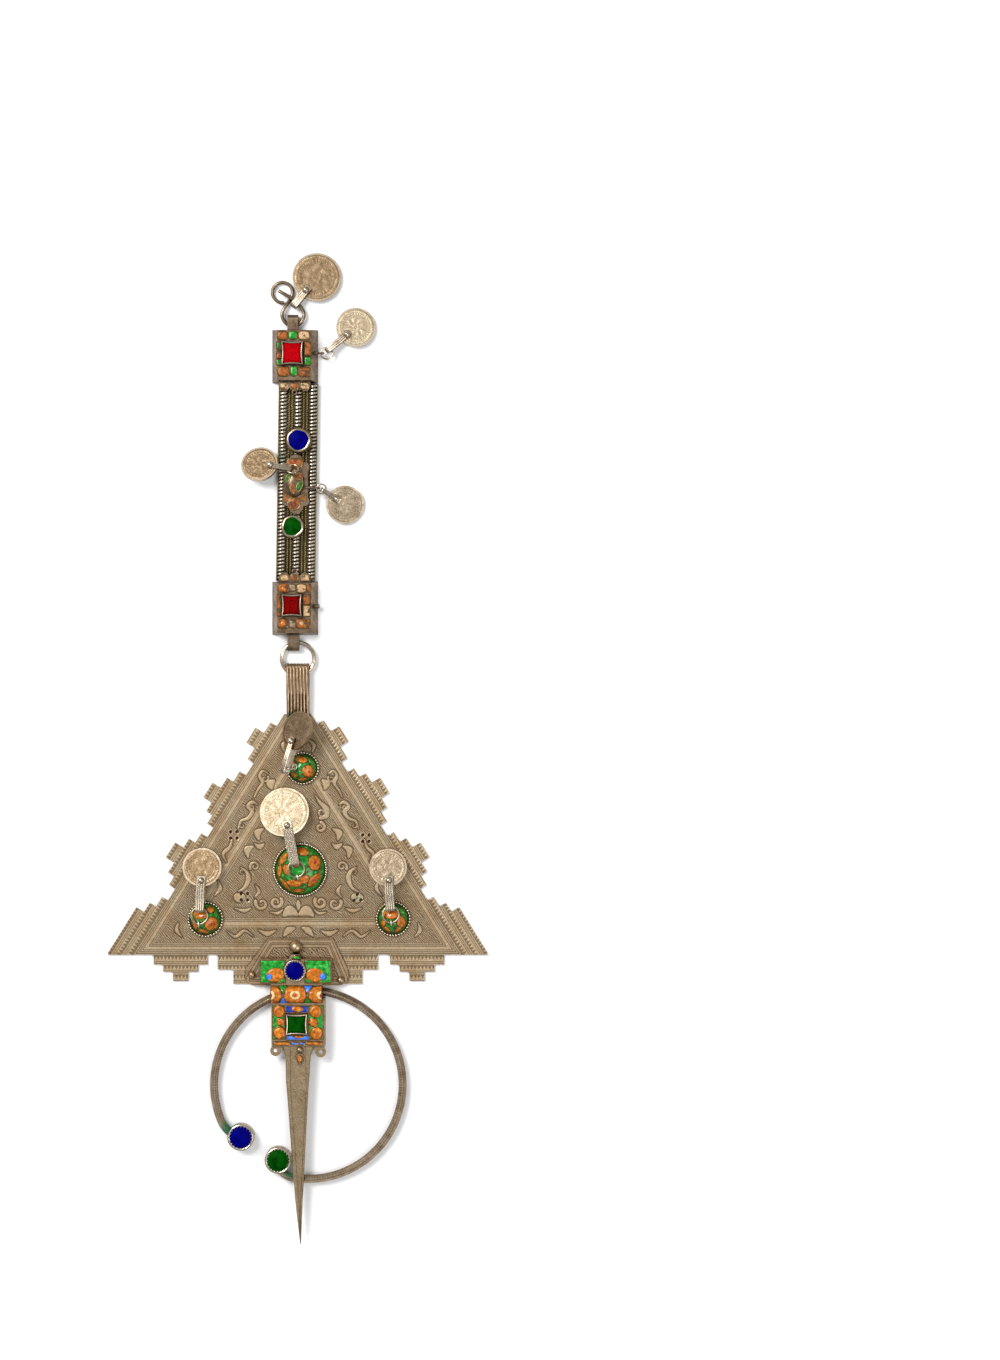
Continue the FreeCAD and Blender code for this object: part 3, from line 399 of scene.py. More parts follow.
def oval(x, y, rx, ry=None, turn=0.0, count=20):
    ry = rx if ry is None else ry
    c, s = math.cos(math.radians(turn)), math.sin(math.radians(turn))
    bearings = [2 * math.pi * i / count for i in range(count)]
    spots = [(rx * math.cos(a), ry * math.sin(a)) for a in bearings]
    return [(x + u * c - v * s, y + u * s + v * c) for u, v in spots]


def rounded(x, y, half_x, half_y, count=28):
    """A rectangle with round sides, between an oval and a box."""
    points = []
    for i in range(count):
        u, v = math.cos(2 * math.pi * i / count), math.sin(2 * math.pi * i / count)
        squared = [math.copysign(abs(w) ** SQUARENESS, w) for w in (u, v)]
        points.append((x + half_x * squared[0], y + half_y * squared[1]))
    return points


def leaf(x, y, length, width, turn, count=22):
    """A pointed leaf about its middle."""
    c, s = math.cos(math.radians(turn)), math.sin(math.radians(turn))
    points = []
    for i in range(count):
        t = 2 * math.pi * i / count
        u, v = length / 2 * math.cos(t), width / 2 * math.sin(t) * abs(math.sin(t)) ** 0.4
        points.append((x + u * c - v * s, y + u * s + v * c))
    return points


def teardrop(x, y, half_x, half_y, count=18):
    """An oval whose lower part is drawn out to a narrow tail."""
    points = []
    for i in range(count):
        t = 2 * math.pi * i / count
        u, v = half_x * math.sin(t), half_y * math.cos(t)
        low = v < -0.7
        points.append((x + u * (0.55 if low else 1.0), y + v - (1.0 if low else 0.0)))
    return points


def patch(*corners, step=1.2):
    """Straight-sided outline with extra points along its sides."""
    points = []
    for a, b in zip(corners, corners[1:] + corners[:1]):
        count = max(1, round(math.dist(a, b) / step))
        points += [(a[0] + (b[0] - a[0]) * i / count, a[1] + (b[1] - a[1]) * i / count) for i in range(count)]
    return points


def edge_reach(outline, x, y):
    """How far places are from the nearest side of an outline, and which lie inside it."""
    reach = np.full(x.shape, 1e9)
    inside = np.zeros(x.shape, bool)
    for (ax, ay), (bx, by) in zip(outline, outline[1:] + outline[:1]):
        length2 = max((bx - ax) ** 2 + (by - ay) ** 2, 1e-9)
        t = np.clip(((x - ax) * (bx - ax) + (y - ay) * (by - ay)) / length2, 0, 1)
        reach = np.minimum(reach, np.hypot(x - ax - t * (bx - ax), y - ay - t * (by - ay)))
        if ay != by:
            inside ^= ((ay > y) != (by > y)) & (x < (bx - ax) * (y - ay) / (by - ay) + ax)
    return reach, inside


def add_pillow(bm, outline, ground, swell=0.45, wall=0.12):
    """Adds one enamel cell: a skin of small triangles that rises from the cell's wire to its middle."""
    xs, ys = zip(*outline)
    columns = np.arange(min(xs), max(xs), PILLOW_STEP)
    rows = np.arange(min(ys), max(ys), PILLOW_STEP * 0.87)
    gx, gy = np.meshgrid(columns, rows)
    gx[1::2] += PILLOW_STEP / 2
    gx, gy = gx.ravel(), gy.ravel()
    reach, inside = edge_reach(outline, gx, gy)
    keep = inside & (reach > PILLOW_STEP * 0.4)
    rim = min(1.3, max(0.3, float(reach[inside].max())) if inside.any() else 0.3)
    points = [Vector(p) for p in outline] + [Vector((a, b)) for a, b in zip(gx[keep], gy[keep])]
    loop = [tuple(range(len(outline)))]
    verts, edges, faces, *rest = geometry.delaunay_2d_cdt(points, [], loop, 1, 1e-5)
    reach, inside = edge_reach(outline, np.array([v.x for v in verts]), np.array([v.y for v in verts]))
    share = np.clip(reach / rim, 0, 1)
    rise = wall + swell * np.sqrt(1 - (1 - share) ** 2)
    skin = bpy.data.meshes.new("skin")
    skin.from_pydata([(v.x, v.y, ground(v.x, v.y) + float(h)) for v, h in zip(verts, rise)], [], faces)
    cell = bmesh.new()
    cell.from_mesh(skin)
    bpy.data.meshes.remove(skin)
    sides = bmesh.ops.extrude_edge_only(cell, edges=[e for e in cell.edges if e.is_boundary])["geom"]
    for vert in (g for g in sides if isinstance(g, bmesh.types.BMVert)):
        vert.co.z -= wall
    join(bm, cell)


def flat(height):
    return lambda x, y: height


def dome(cx, cy, top, radius):
    """The height of a ball of that radius whose top is at height top."""
    def height(x, y):
        reach = min((x - cx) ** 2 + (y - cy) ** 2, radius ** 2 * 0.98)
        return top - radius + math.sqrt(radius ** 2 - reach)
    return height


def lay_cells(name, cells, ground, wire_r=0.28, wall=0.1, metal=cell_wire):
    """Makes the enamel cells of one part, one piece a colour, and the wires round them."""
    wires = bmesh.new()
    colours = {}
    for colour, outline, swell in cells:
        colours.setdefault(colour, bmesh.new())
        if swell is not None:
            add_pillow(colours[colour], outline, ground, swell, wall)
        add_wire(wires, [(x, y, ground(x, y) + wall + WIRE_LIFT) for x, y in outline], wire_r)
    for colour, bm in colours.items():
        piece(f"{name}_{colour}", bm, ENAMELS[colour])
    piece(f"{name}_wires", wires, metal)


# %% First coat on the solids
COATS = [
    # how the node's name starts, and its finish; the first that fits is taken
    ("coin_bail", wire_silver), ("coin_centre", pale_coin_silver), ("coin_block", pale_coin_silver),
    ("coin_top", brown_coin_silver), ("coin_", coin_silver), ("jump_ring", wire_silver),
    ("boss", ENAMELS["green"]), ("head_stone_blue", blue_glass), ("hoop_stone_blue", blue_glass),
    ("strap_stone_blue", blue_glass), ("head_stone_green", green_glass), ("hoop_stone_green", green_glass),
    ("strap_stone_green", green_glass), ("strap_stone_lower", dark_red_glass), ("strap_stone", red_glass),
    ("strap_block", block_silver), ("strap_mount", block_silver), ("strap_hook", hook_silver),
    ("neck_loop", neck_silver), ("strap_", strap_silver), ("link_ring", wire_silver), ("", sheet_silver),
]
for name, solid in nodes.items():
    coat = next(material for start, material in COATS if name.startswith(start))
    solid.data.materials.clear()
    solid.data.materials.append(coat)

# %% [markdown]
# ## The engraved plate
# The plate is cut from sheet and engraved with a burin: bands of fine lines follow its three sides,
# rows of wolf's teeth fill the stepped edge, and scrolls lie on a hatched ground. A line 0.3 mm wide is
# too thin for a solid, so the plate is rebuilt here as one close mesh: the outline comes
# from the solid's underside, a fine lattice fills it, and each vertex carries how far in it is from
# the nearest side, how far along that side, and whether it is on a figure. The shader draws the
# straight work from the first two, and the scrolls are lifted and outlined in the mesh.

# %% The plate's outline, read from the underside of its solid
PLATE_T = 1.2
APEX_Y = 26.0
BASE_Y = -97.2
HALF_BASE = 76.9


def underside_outline(node):
    bm = bmesh.new()
    bm.from_mesh(nodes[node].data)
    bmesh.ops.remove_doubles(bm, verts=bm.verts, dist=1e-6)
    low = [f for f in bm.faces if f.normal.z < -0.99 and f.calc_center_median().z < 0.05 * MM]
    lows = set(low)
    border = [e for e in bm.edges if sum(f in lows for f in e.link_faces) == 1]
    bmesh.ops.dissolve_limit(bm, angle_limit=0.001, verts=[], edges=[])
    follow = {}
    for edge in border:
        for vert in edge.verts:
            follow.setdefault(vert, []).append(edge.other_vert(vert))
    start = here = border[0].verts[0]
    before, loop = None, []
    while True:
        loop.append((here.co.x / MM, here.co.y / MM))
        before, here = here, next(v for v in follow[here] if v is not before)
        if here is start:
            break
    bm.free()
    return loop


outline = underside_outline("plate")
print("outline corners", len(outline))

# %% Scrolls, as lines with a width
def curl(x, y, radius, start, turns, width, tail=0.0, tail_turn=0.0):
    """A comma: a spiral that winds in from radius, with a straight tail if asked. Gives x, y, half width."""
    line = []
    count = max(12, int(abs(turns) * 26))
    for i in range(count + 1):
        t = i / count
        a = math.radians(start) + turns * 2 * math.pi * t
        r = radius * (1 - 0.72 * t)
        line.append((x + r * math.cos(a), y + r * math.sin(a), width * (1 - 0.45 * t)))
    if tail:
        x0, y0, w0 = line[0]
        a = math.radians(start + tail_turn)
        shares = [k / 8 for k in range(8, 0, -1)]
        reach_x, reach_y = tail * math.cos(a), tail * math.sin(a)
        line = [(x0 + reach_x * t, y0 + reach_y * t, w0 * (1 - 0.75 * t)) for t in shares] + line
    return line


def sweep_line(points, widths):
    """A smooth line through points, with its half width at the start, the middle and the end."""
    line = []
    stops = [points[0]] + points + [points[-1]]
    for i in range(1, len(stops) - 2):
        p0, p1, p2, p3 = (Vector(stops[i + k]) for k in (-1, 0, 1, 2))
        for k in range(10):
            t = k / 10
            bend, twist = 2 * p0 - 5 * p1 + 4 * p2 - p3, 3 * p1 - p0 - 3 * p2 + p3
            spot = 0.5 * (2 * p1 + (p2 - p0) * t + bend * t * t + twist * t ** 3)
            share = (i - 1 + t) / (len(points) - 1)
            low, high = (widths[0], widths[1]) if share < 0.5 else (widths[1], widths[2])
            local = share * 2 if share < 0.5 else share * 2 - 1
            line.append((spot.x, spot.y, low + (high - low) * local))
    return line


SCROLLS = [
    # the right half; each is mirrored to the left
    sweep_line([(19.8, -26.6), (21.9, -25.4), (23.9, -27.6), (22.0, -30.2), (24.0, -33.2), (27.3, -34.6),
                (28.6, -38.4)], (0.5, 1.1, 0.4)),
    curl(22.2, -28.0, 1.9, 100, -1.1, 0.62),
    curl(26.6, -36.6, 1.5, 60, -0.9, 0.5),
    sweep_line([(31.5, -43.2), (32.6, -46.8), (35.6, -50.0), (34.0, -54.0)], (0.4, 0.95, 0.35)),
    sweep_line([(14.5, -12.2), (17.0, -11.0), (18.4, -13.4), (17.2, -16.6), (19.4, -20.0), (21.0, -23.4)],
               (0.4, 0.9, 0.4)),
    curl(15.9, -14.6, 1.7, 150, 1.0, 0.55),
    sweep_line([(11.6, -15.4), (13.4, -17.0), (12.6, -19.6)], (0.5, 1.9, 0.4)),
    sweep_line([(8.2, -22.4), (10.6, -25.8), (13.2, -28.6), (13.4, -32.2), (10.4, -33.2)], (0.3, 1.5, 0.7)),
    curl(11.4, -30.4, 2.0, -60, -0.9, 0.6),
    curl(10.6, -37.4, 2.3, 80, -1.15, 0.85),
    sweep_line([(16.2, -45.0), (18.4, -46.6), (21.0, -44.8)], (0.2, 1.35, 0.2)),
    sweep_line([(16.6, -38.2), (19.4, -40.0), (18.8, -43.4)], (0.4, 1.7, 0.4)),
    sweep_line([(21.4, -46.4), (24.2, -48.0), (23.8, -51.8)], (0.4, 1.7, 0.4)),
    curl(20.8, -55.8, 2.3, -30, 1.2, 0.7),
    sweep_line([(27.4, -56.2), (24.6, -58.4), (23.8, -61.8), (25.4, -65.6), (28.4, -67.6)], (0.3, 1.3, 0.4)),
    curl(26.6, -58.6, 1.5, 150, -0.8, 0.45),
    sweep_line([(20.4, -64.6), (18.8, -67.6), (20.8, -70.4)], (0.3, 0.9, 0.3)),
    sweep_line([(26.9, -70.3), (27.9, -70.6), (28.9, -70.3)], (1.9, 2.3, 1.9)),
    curl(10.8, -72.6, 2.9, 150, 1.15, 0.95),
    curl(17.4, -73.2, 3.1, 20, -0.95, 0.9),
    sweep_line([(7.6, -76.0), (10.0, -77.8), (13.6, -77.2)], (0.3, 0.8, 0.3)),
    sweep_line([(22.4, -75.4), (25.8, -76.6), (30.2, -75.4)], (0.3, 1.0, 0.3)),
    sweep_line([(1.0, -78.4), (4.2, -76.6), (7.2, -79.0)], (0.8, 2.5, 0.6)),
    sweep_line([(0.5, -71.6), (0.5, -73.8), (0.5, -76.4)], (0.2, 1.0, 0.2)),
    sweep_line([(2.0, -84.6), (4.8, -85.8), (7.2, -88.6)], (0.4, 1.7, 0.3)),
    sweep_line([(10.8, -85.8), (14.8, -87.4), (19.0, -85.6)], (0.3, 1.3, 0.3)),
    sweep_line([(21.4, -88.6), (25.6, -86.0), (29.8, -88.8), (34.0, -86.0)], (0.3, 0.9, 0.3)),
    sweep_line([(38.2, -62.4), (37.0, -66.2), (39.8, -69.8)], (0.3, 1.0, 0.3)),
    sweep_line([(55.0, -88.8), (57.4, -85.8), (56.6, -82.2)], (0.3, 1.0, 0.3)),
    sweep_line([(4.4, 4.2), (7.4, 1.4), (6.8, -2.0)], (0.3, 1.0, 0.3)),
]
# x, y and how many pits
PIT_GROUPS = [(-30.0, -41.0, 4), (-25.0, -70.0, 4), (32.0, -42.5, 4), (28.0, -70.5, 3)]

# %% The lattice, with the engraving's measures on each vertex
LATTICE = 0.388
# the engraved face stays a little under the solid's, so that nothing of it stands out of its box
SETBACK = 0.02
PITS = {
    # pits in a group, each from the group's middle
    4: [(-1.5, -1.5), (1.5, -1.5), (-1.5, 1.5), (1.5, 1.5)],
    3: [(0, 1.5), (-1.5, -1.2), (1.6, -1.0)],
}


def inward_and_along(x, y):
    """How far in from the nearest of the three sides, and how far along that side, in millimetres."""
    length = math.hypot(HALF_BASE, APEX_Y - BASE_Y)
    ux, uy = HALF_BASE / length, (BASE_Y - APEX_Y) / length
    side = np.abs(x) * uy + (APEX_Y - y) * ux
    base = y - BASE_Y
    run = np.abs(x) * ux + (y - APEX_Y) * uy
    return np.minimum(side, base), np.where(base < side, x, run)


def plate_lattice():
    xs = np.arange(-90.0, 90.0, LATTICE)
    ys = np.arange(-112.0, 17.0, LATTICE * math.sqrt(3) / 2)
    gx, gy = np.meshgrid(xs, ys)
    gx[1::2] += LATTICE / 2
    px, py = gx.ravel(), gy.ravel()
    reach, inside = edge_reach(outline, px, py)
    keep = inside & (reach >= LATTICE * 0.45)
    ring = outline + outline[:1]
    edge_points = []
    for (ax, ay), (bx, by) in zip(ring, ring[1:]):
        count = max(1, round(math.dist((ax, ay), (bx, by)) / (LATTICE * 1.6)))
        edge_points += [(ax + (bx - ax) * i / count, ay + (by - ay) * i / count) for i in range(count)]
    points = [Vector(p) for p in edge_points] + [Vector((a, b)) for a, b in zip(px[keep], py[keep])]
    loop = [tuple(range(len(edge_points)))]
    verts, edges, faces, *rest = geometry.delaunay_2d_cdt(points, [], loop, 1, 1e-5)
    return verts, faces


def figure_distance(x, y):
    """Distance outwards from the nearest scroll's edge, in millimetres, below zero on the scroll."""
    marks = []
    for line in SCROLLS:
        for side in (1, -1):
            marks += [(0.3 + side * (a - 0.3), b, w) for a, b, w in line]
    best = np.full(x.shape, 9.0)
    for a, b, w in marks:
        close = (np.abs(x - a) < w + 1.4) & (np.abs(y - b) < w + 1.4)
        best[close] = np.minimum(best[close], np.hypot(x[close] - a, y[close] - b) - w)
    return best


def make_plate():
    verts, faces = plate_lattice()
    mesh = bpy.data.meshes.new("lattice")
    mesh.from_pydata([(v.x * MM, v.y * MM, PLATE_T * MM) for v in verts], [], faces)
    bm = bmesh.new()
    bm.from_mesh(mesh)
    bpy.data.meshes.remove(mesh)
    bm.verts.ensure_lookup_table()
    x = np.array([v.co.x for v in bm.verts]) / MM
    y = np.array([v.co.y for v in bm.verts]) / MM
    inward, along = inward_and_along(x, y)
    edge = figure_distance(x, y)
    figure = np.clip(0.5 - edge / 0.3, 0, 1)
    line = np.exp(-((edge - 0.12) / 0.33) ** 2)
    height = 0.018 * figure - 0.03 * line
    for gx, gy, count in PIT_GROUPS:
        for dx, dy in PITS[count]:
            reach = np.hypot(x - gx - dx, y - gy - dy)
            height -= 0.75 * np.clip((0.75 - reach) / 0.35, 0, 1)
            line = np.maximum(line, np.clip((0.85 - reach) / 0.3, 0, 1))
            figure = np.maximum(figure, np.clip((1.35 - reach) / 0.3, 0, 1))
    low_spots = np.sin(x * 0.13 + 1.0) * np.sin(y * 0.11) * 0.02
    layers = {name: bm.verts.layers.float.new(name) for name in ("inward", "along", "figure", "line")}
    values = dict(inward=inward, along=along, figure=figure, line=line)
    for i, vert in enumerate(bm.verts):
        vert.co.z += float(height[i] + low_spots[i]) * MM - SETBACK * MM
        for name, layer in layers.items():
            vert[layer] = float(values[name][i])
    rim = [e for e in bm.edges if e.is_boundary]
    walls = bmesh.ops.extrude_edge_only(bm, edges=rim)["geom"]
    for vert in (g for g in walls if isinstance(g, bmesh.types.BMVert)):
        vert.co.z = 0.0
    foot = [g for g in walls if isinstance(g, bmesh.types.BMEdge) and g.is_boundary]
    bmesh.ops.contextual_create(bm, geom=foot)
    return piece("engraved_plate", bm, plate_silver, stands_for=("plate",))


# %% The plate's own silver
INWARD_RANGE = (-14.0, 20.0)
BORDER_BANDS = [
    # how far in, and how bright the strip is from there on
    (-14.0, 0.85), (-0.55, 0.15), (-0.25, 0.85), (0.35, 0.2), (0.65, 0.9), (1.25, 0.25), (1.5, 0.85),
    (2.1, 0.3), (2.35, 1.0), (3.7, 0.25), (3.95, 0.8), (4.5, 0.3), (4.75, 0.8), (5.3, 0.35), (5.55, 0.62),
    (12.7, 0.3), (12.95, 0.85), (13.5, 0.25), (13.75, 1.0), (15.4, 0.25), (15.65, 0.9), (16.2, 0.25),
    (16.5, 0.85), (17.1, 0.3), (17.35, 0.62),
]
# where the hatched ground lies: 1 in the strip between the two bands and in the middle field
GROUND_STRIPS = [(-14.0, 0.0), (5.618, 1.0), (12.588, 0.0), (17.416, 1.0)]
TEETH_ROW = 4.4
TOOTH_HALF = 0.85
IN_ROW = [(0.0, 0.0), (0.18, 1.0), (0.68, 0.0)]
ROW_LINES = [(0.0, 0.9), (0.12, 0.35), (0.18, 0.9), (0.7, 0.35), (0.76, 0.95), (0.9, 0.35), (0.95, 0.9)]


def carried(tree, name):
    """A measure that the vertices carry."""
    return add(tree, "Attribute", attribute_name=name).outputs["Fac"]


def hatching(tree, mm, scale, detail, detail_scale):
    """Slanting lines that the hand let wander."""
    inputs = {"Vector": mm, "Scale": scale, "Distortion": 7.0, "Detail": detail, "Detail Scale": detail_scale}
    return add(tree, "TexWave", inputs, bands_direction="DIAGONAL").outputs["Fac"]


def engrave_plate(tree, mm):
    inward, along, figure, line = (carried(tree, name) for name in ("inward", "along", "figure", "line"))
    bands = banded(tree, inward, *INWARD_RANGE, BORDER_BANDS)
    # wolf's teeth, in rows outside the border
    row = maths(tree, "FRACT", maths(tree, "MULTIPLY", inward, -1 / TEETH_ROW))
    rise = remap(tree, row, 0.18, 0.66)
    tall = maths(tree, "MULTIPLY", maths(tree, "PINGPONG", along, TOOTH_HALF), 1 / TOOTH_HALF)
    teeth = remap(tree, maths(tree, "SUBTRACT", rise, tall), -0.12, 0.12, 0.35, 1.0)
    row_lines = ramp(tree, row, ROW_LINES, stepped=True)
    toothed = mix(tree, ramp(tree, row, IN_ROW, stepped=True), row_lines, teeth)
    straight = mix(tree, maths(tree, "LESS_THAN", inward, -0.6), bands, toothed)
    # the hatched ground, its lines about 0.8 mm apart, and the scrolls on it
    ground = remap(tree, hatching(tree, mm, 0.55, 2.0, 0.7), 0.15, 0.75, 0.22, 0.85)
    on_ground = mix(tree, banded(tree, inward, *INWARD_RANGE, GROUND_STRIPS), straight, ground)
    tone = mix(tree, line, mix(tree, figure, on_ground, 1.0), 0.0)
    return remap(tree, tone, 0.0, 1.0, 0.05, 1.0), tone


PLATE_VERDIGRIS = [
    (27.8, -70.4, 1.2, 4.5, 0.25), (-25.0, -70.0, 1.2, 4.0, 0.2),
    (-3.0, 12.0, 1.2, 8.0, 0.2), (2.0, -9.0, 1.2, 10.5, 0.12),
]
plate_silver = make_silver("engraved sheet silver", "#dac3a0", "#b39773", "#402d18", 0.42, cloud=11.0,
                           bump=0.03, engraving=engrave_plate, verdigris=PLATE_VERDIGRIS)
make_plate()

# %% [markdown]
# ## Collars and enamelled domes
# Each dome stands in a collar: a wire soldered to the plate with a row of granules on it, tiny silver
# balls that melt into shape by themselves on charcoal. The granules are repeated by the
# hundred, so each is a ball of a few dozen faces.

# %% Collars
BOSSES = {
    # x, y, collar radius, rise of the dome, granules
    "centre": (1.2, -57.3, 13.0, 7.3, 68),
    "left": (-43.2, -80.5, 8.65, 5.0, 36),
    "right": (44.9, -80.3, 8.5, 5.0, 36),
    "top": (2.4, -9.6, 8.0, 4.8, 34),
}
COLLAR_WIRE_R = 0.8
GRANULE_R = 0.54


def make_collar(boss):
    x, y, radius, _, count = BOSSES[boss]
    wire = bmesh.new()
    grains = bmesh.new()
    middle = radius - COLLAR_WIRE_R
    add_wire(wire, [(a, b, PLATE_T + 0.35) for a, b in oval(x, y, middle, count=72)], 0.5, sides=10)
    ring_r = middle + 0.1
    for i in range(count):
        a = 2 * math.pi * i / count
        size = GRANULE_R + 0.05 * math.sin(i * 2.3)
        add_bead(grains, (x + ring_r * math.cos(a), y + ring_r * math.sin(a), PLATE_T + 1.0), size)
    piece(f"collar_granules_{boss}", grains, granule_silver, crisp=70)
    piece(f"collar_{boss}", wire, cell_wire, crisp=70)


for boss in BOSSES:
    make_collar(boss)

# %% [markdown]
# The domes are painted with enamel between wires: leaves and ovals of amber on a green ground,
# some with a dark red dot in a ring. The green ground is the dome's own coat, and the eye on top
# stays silver, so one material changes from enamel to silver by the distance from the dome's middle.

# %% The cells of the four domes, as colour, outline, swell
BOSS_CELLS = {
    "centre": [
        ("amber", oval(7.3, 3.7, 2.5, 3.1, 10), 0.5), ("red", oval(7.3, 3.7, 0.75, 1.0), 0.9),
        ("amber", leaf(6.8, -4.5, 7.6, 3.0, 49), 0.5), ("red", oval(6.8, -4.5, 0.6, 0.9), 0.9),
        ("amber", oval(1.7, -4.0, 2.7, 1.8, 12), 0.5), ("amber", oval(-2.7, -6.0, 3.1, 1.4, -8), 0.5),
        ("amber", leaf(-0.5, -9.5, 5.2, 1.7, 4), 0.4), ("amber", leaf(-7.2, -6.8, 7.4, 1.7, -50), 0.4),
        ("amber", leaf(-9.6, -0.4, 6.2, 1.9, 85), 0.4), ("amber", oval(-5.9, 0.4, 1.5, 2.3, 20), 0.5),
        ("amber", leaf(-7.9, 5.3, 6.0, 2.4, 58), 0.5), ("amber", oval(1.6, 8.7, 2.5, 1.5, -12), 0.5),
        ("amber", oval(-1.3, 3.2, 1.8, 1.2, 20), 0.5), ("green", oval(4.6, 8.1, 1.6, 1.0, -30), 0.4),
        ("green", leaf(3.8, 0.4, 3.8, 1.5, 60), 0.5), ("green", oval(-4.6, -2.9, 1.4, 1.9, -15), 0.5),
        ("green", leaf(9.7, -0.6, 3.4, 1.3, 88), 0.4), ("green", leaf(2.6, -8.2, 3.4, 1.3, 28), 0.4),
        ("green", leaf(-3.6, 8.0, 4.4, 1.7, 30), 0.5),
    ],
    "left": [
        ("amber", oval(-2.2, 2.7, 3.2, 1.9, 0), 0.5), ("amber", oval(3.1, -1.9, 2.5, 2.8, -20), 0.5),
        ("red", oval(3.1, -1.9, 0.6, 0.9, -20), 0.9), ("amber", leaf(-4.9, -2.1, 4.6, 2.1, 110), 0.5),
        ("amber", leaf(-0.9, -5.4, 4.4, 1.8, -12), 0.4), ("amber", oval(2.5, 4.8, 1.7, 1.1, -35), 0.4),
        ("green", leaf(5.0, 2.4, 3.6, 1.5, 110), 0.4), ("green", oval(-1.6, -2.0, 1.3, 1.6, 10), 0.4),
    ],
    "right": [
        ("amber", oval(-1.1, 2.6, 3.4, 1.9, 0), 0.5), ("amber", oval(4.2, -1.2, 1.9, 2.7, 15), 0.5),
        ("amber", leaf(-5.0, -1.6, 4.8, 2.2, 80), 0.5), ("amber", leaf(-2.8, -4.9, 3.8, 1.6, -40), 0.4),
        ("amber", leaf(2.6, -4.9, 3.8, 1.6, 38), 0.4), ("green", leaf(4.2, 3.6, 4.2, 1.7, -45), 0.5),
        ("green", oval(0.0, -2.2, 1.5, 1.5), 0.5), ("green", leaf(-4.3, 3.6, 3.2, 1.3, 45), 0.4),
    ],
    "top": [
        ("amber", oval(-0.4, 4.4, 2.7, 1.4, -8), 0.5), ("amber", oval(2.9, -1.4, 2.4, 2.6, 20), 0.5),
        ("red", oval(3.1, -1.5, 0.7, 0.7), 0.9), ("amber", leaf(-4.2, -3.3, 3.6, 1.9, -45), 0.5),
        ("amber", leaf(0.3, -5.1, 3.6, 1.5, 8), 0.4), ("green", leaf(4.3, 3.3, 3.8, 1.7, -48), 0.5),
        ("green", oval(-0.9, -1.9, 1.4, 1.1), 0.4), ("amber", leaf(-4.7, 1.8, 3.6, 1.5, 65), 0.4),
    ],
}
DOME_LIFT = 0.04
# how far the dome's foot and its outermost cells lie inside the collar's outside
FOOT_INSET = 1.7
CELL_INSET = 1.9
AMBER_GROWTH = 1.2
OTHER_GROWTH = 1.05


def dome_of(boss):
    """The middle and radius of a boss's ball-shaped dome, as its solid has it."""
    x, y, collar_r, rise, _ = BOSSES[boss]
    radius = collar_r - FOOT_INSET
    ball_r = (radius ** 2 + rise ** 2) / (2 * rise)
    return Vector((x, y, PLATE_T + 0.1 + rise - ball_r)), ball_r


def make_dome_enamel(boss):
    middle, ball_r = dome_of(boss)
    material, tree, surface, mm = shader(f"green enamel dome {boss}")
    on_eye = maths(tree, "GREATER_THAN", measure(tree, "DISTANCE", mm, middle), ball_r + 0.12)
    # the palest green is a painted highlight, scattered in clouds
    green = ramp(tree, noise(tree, mm, 0.6, 4.0), [(0.3, "#083f0e"), (0.6, "#1b9428"), (0.74, "#6fd873")])
    colour = mix_colour(tree, on_eye, green, "#d9cfbd")
    rough = remap(tree, on_eye, 0.0, 1.0, 0.14, 0.3)
    plug(tree, surface, {"Base Color": colour, "Metallic": on_eye, "Roughness": rough})
    return material


def fitted(cell, centre, limit, grown):
    """A cell's outline, larger about its own middle and then pulled in to lie within limit of the dome's."""
    mx, my = (sum(axis) / len(cell) for axis in zip(*cell))
    larger = [(mx + (a - mx) * grown, my + (b - my) * grown) for a, b in cell]
    fit = min(1.0, *(limit / max(math.hypot(a, b), 0.01) for a, b in larger))
    return [(centre.x + fit * a, centre.y + fit * b) for a, b in larger]


for boss, cells in BOSS_CELLS.items():
    middle, ball_r = dome_of(boss)
    ground = dome(middle.x, middle.y, middle.z + ball_r + DOME_LIFT, ball_r)
    limit = 0.97 * (BOSSES[boss][2] - CELL_INSET)
    placed = []
    for colour, line, swell in cells:
        grown = AMBER_GROWTH if colour == "amber" else OTHER_GROWTH
        placed.append((colour, fitted(line, middle, limit, grown), swell))
    lay_cells(f"boss_{boss}", placed, ground, wire_r=0.22, wall=0.05)
    nodes[f"boss_{boss}"].data.materials[0] = make_dome_enamel(boss)

# %% [markdown]
# ## The head block
# The block at the base is a box, a barrel and a crosspiece in one, covered with enamel. Amber
# rounds sit in rings of wire on fields of green and blue. The barrel's cells bend over it.

# %% Enamel of the head block
BARREL_Y, BARREL_Z, BARREL_R = -115.2, 4.2, 5.0
CROSS_TOP, BOX_TOP, LIP_TOP, DROP_TOP = 7.02, 7.62, 7.22, 8.02


def barrel(x, y):
    return BARREL_Z + math.sqrt(max(BARREL_R ** 2 - (y - BARREL_Y) ** 2, 0.6)) + 0.02


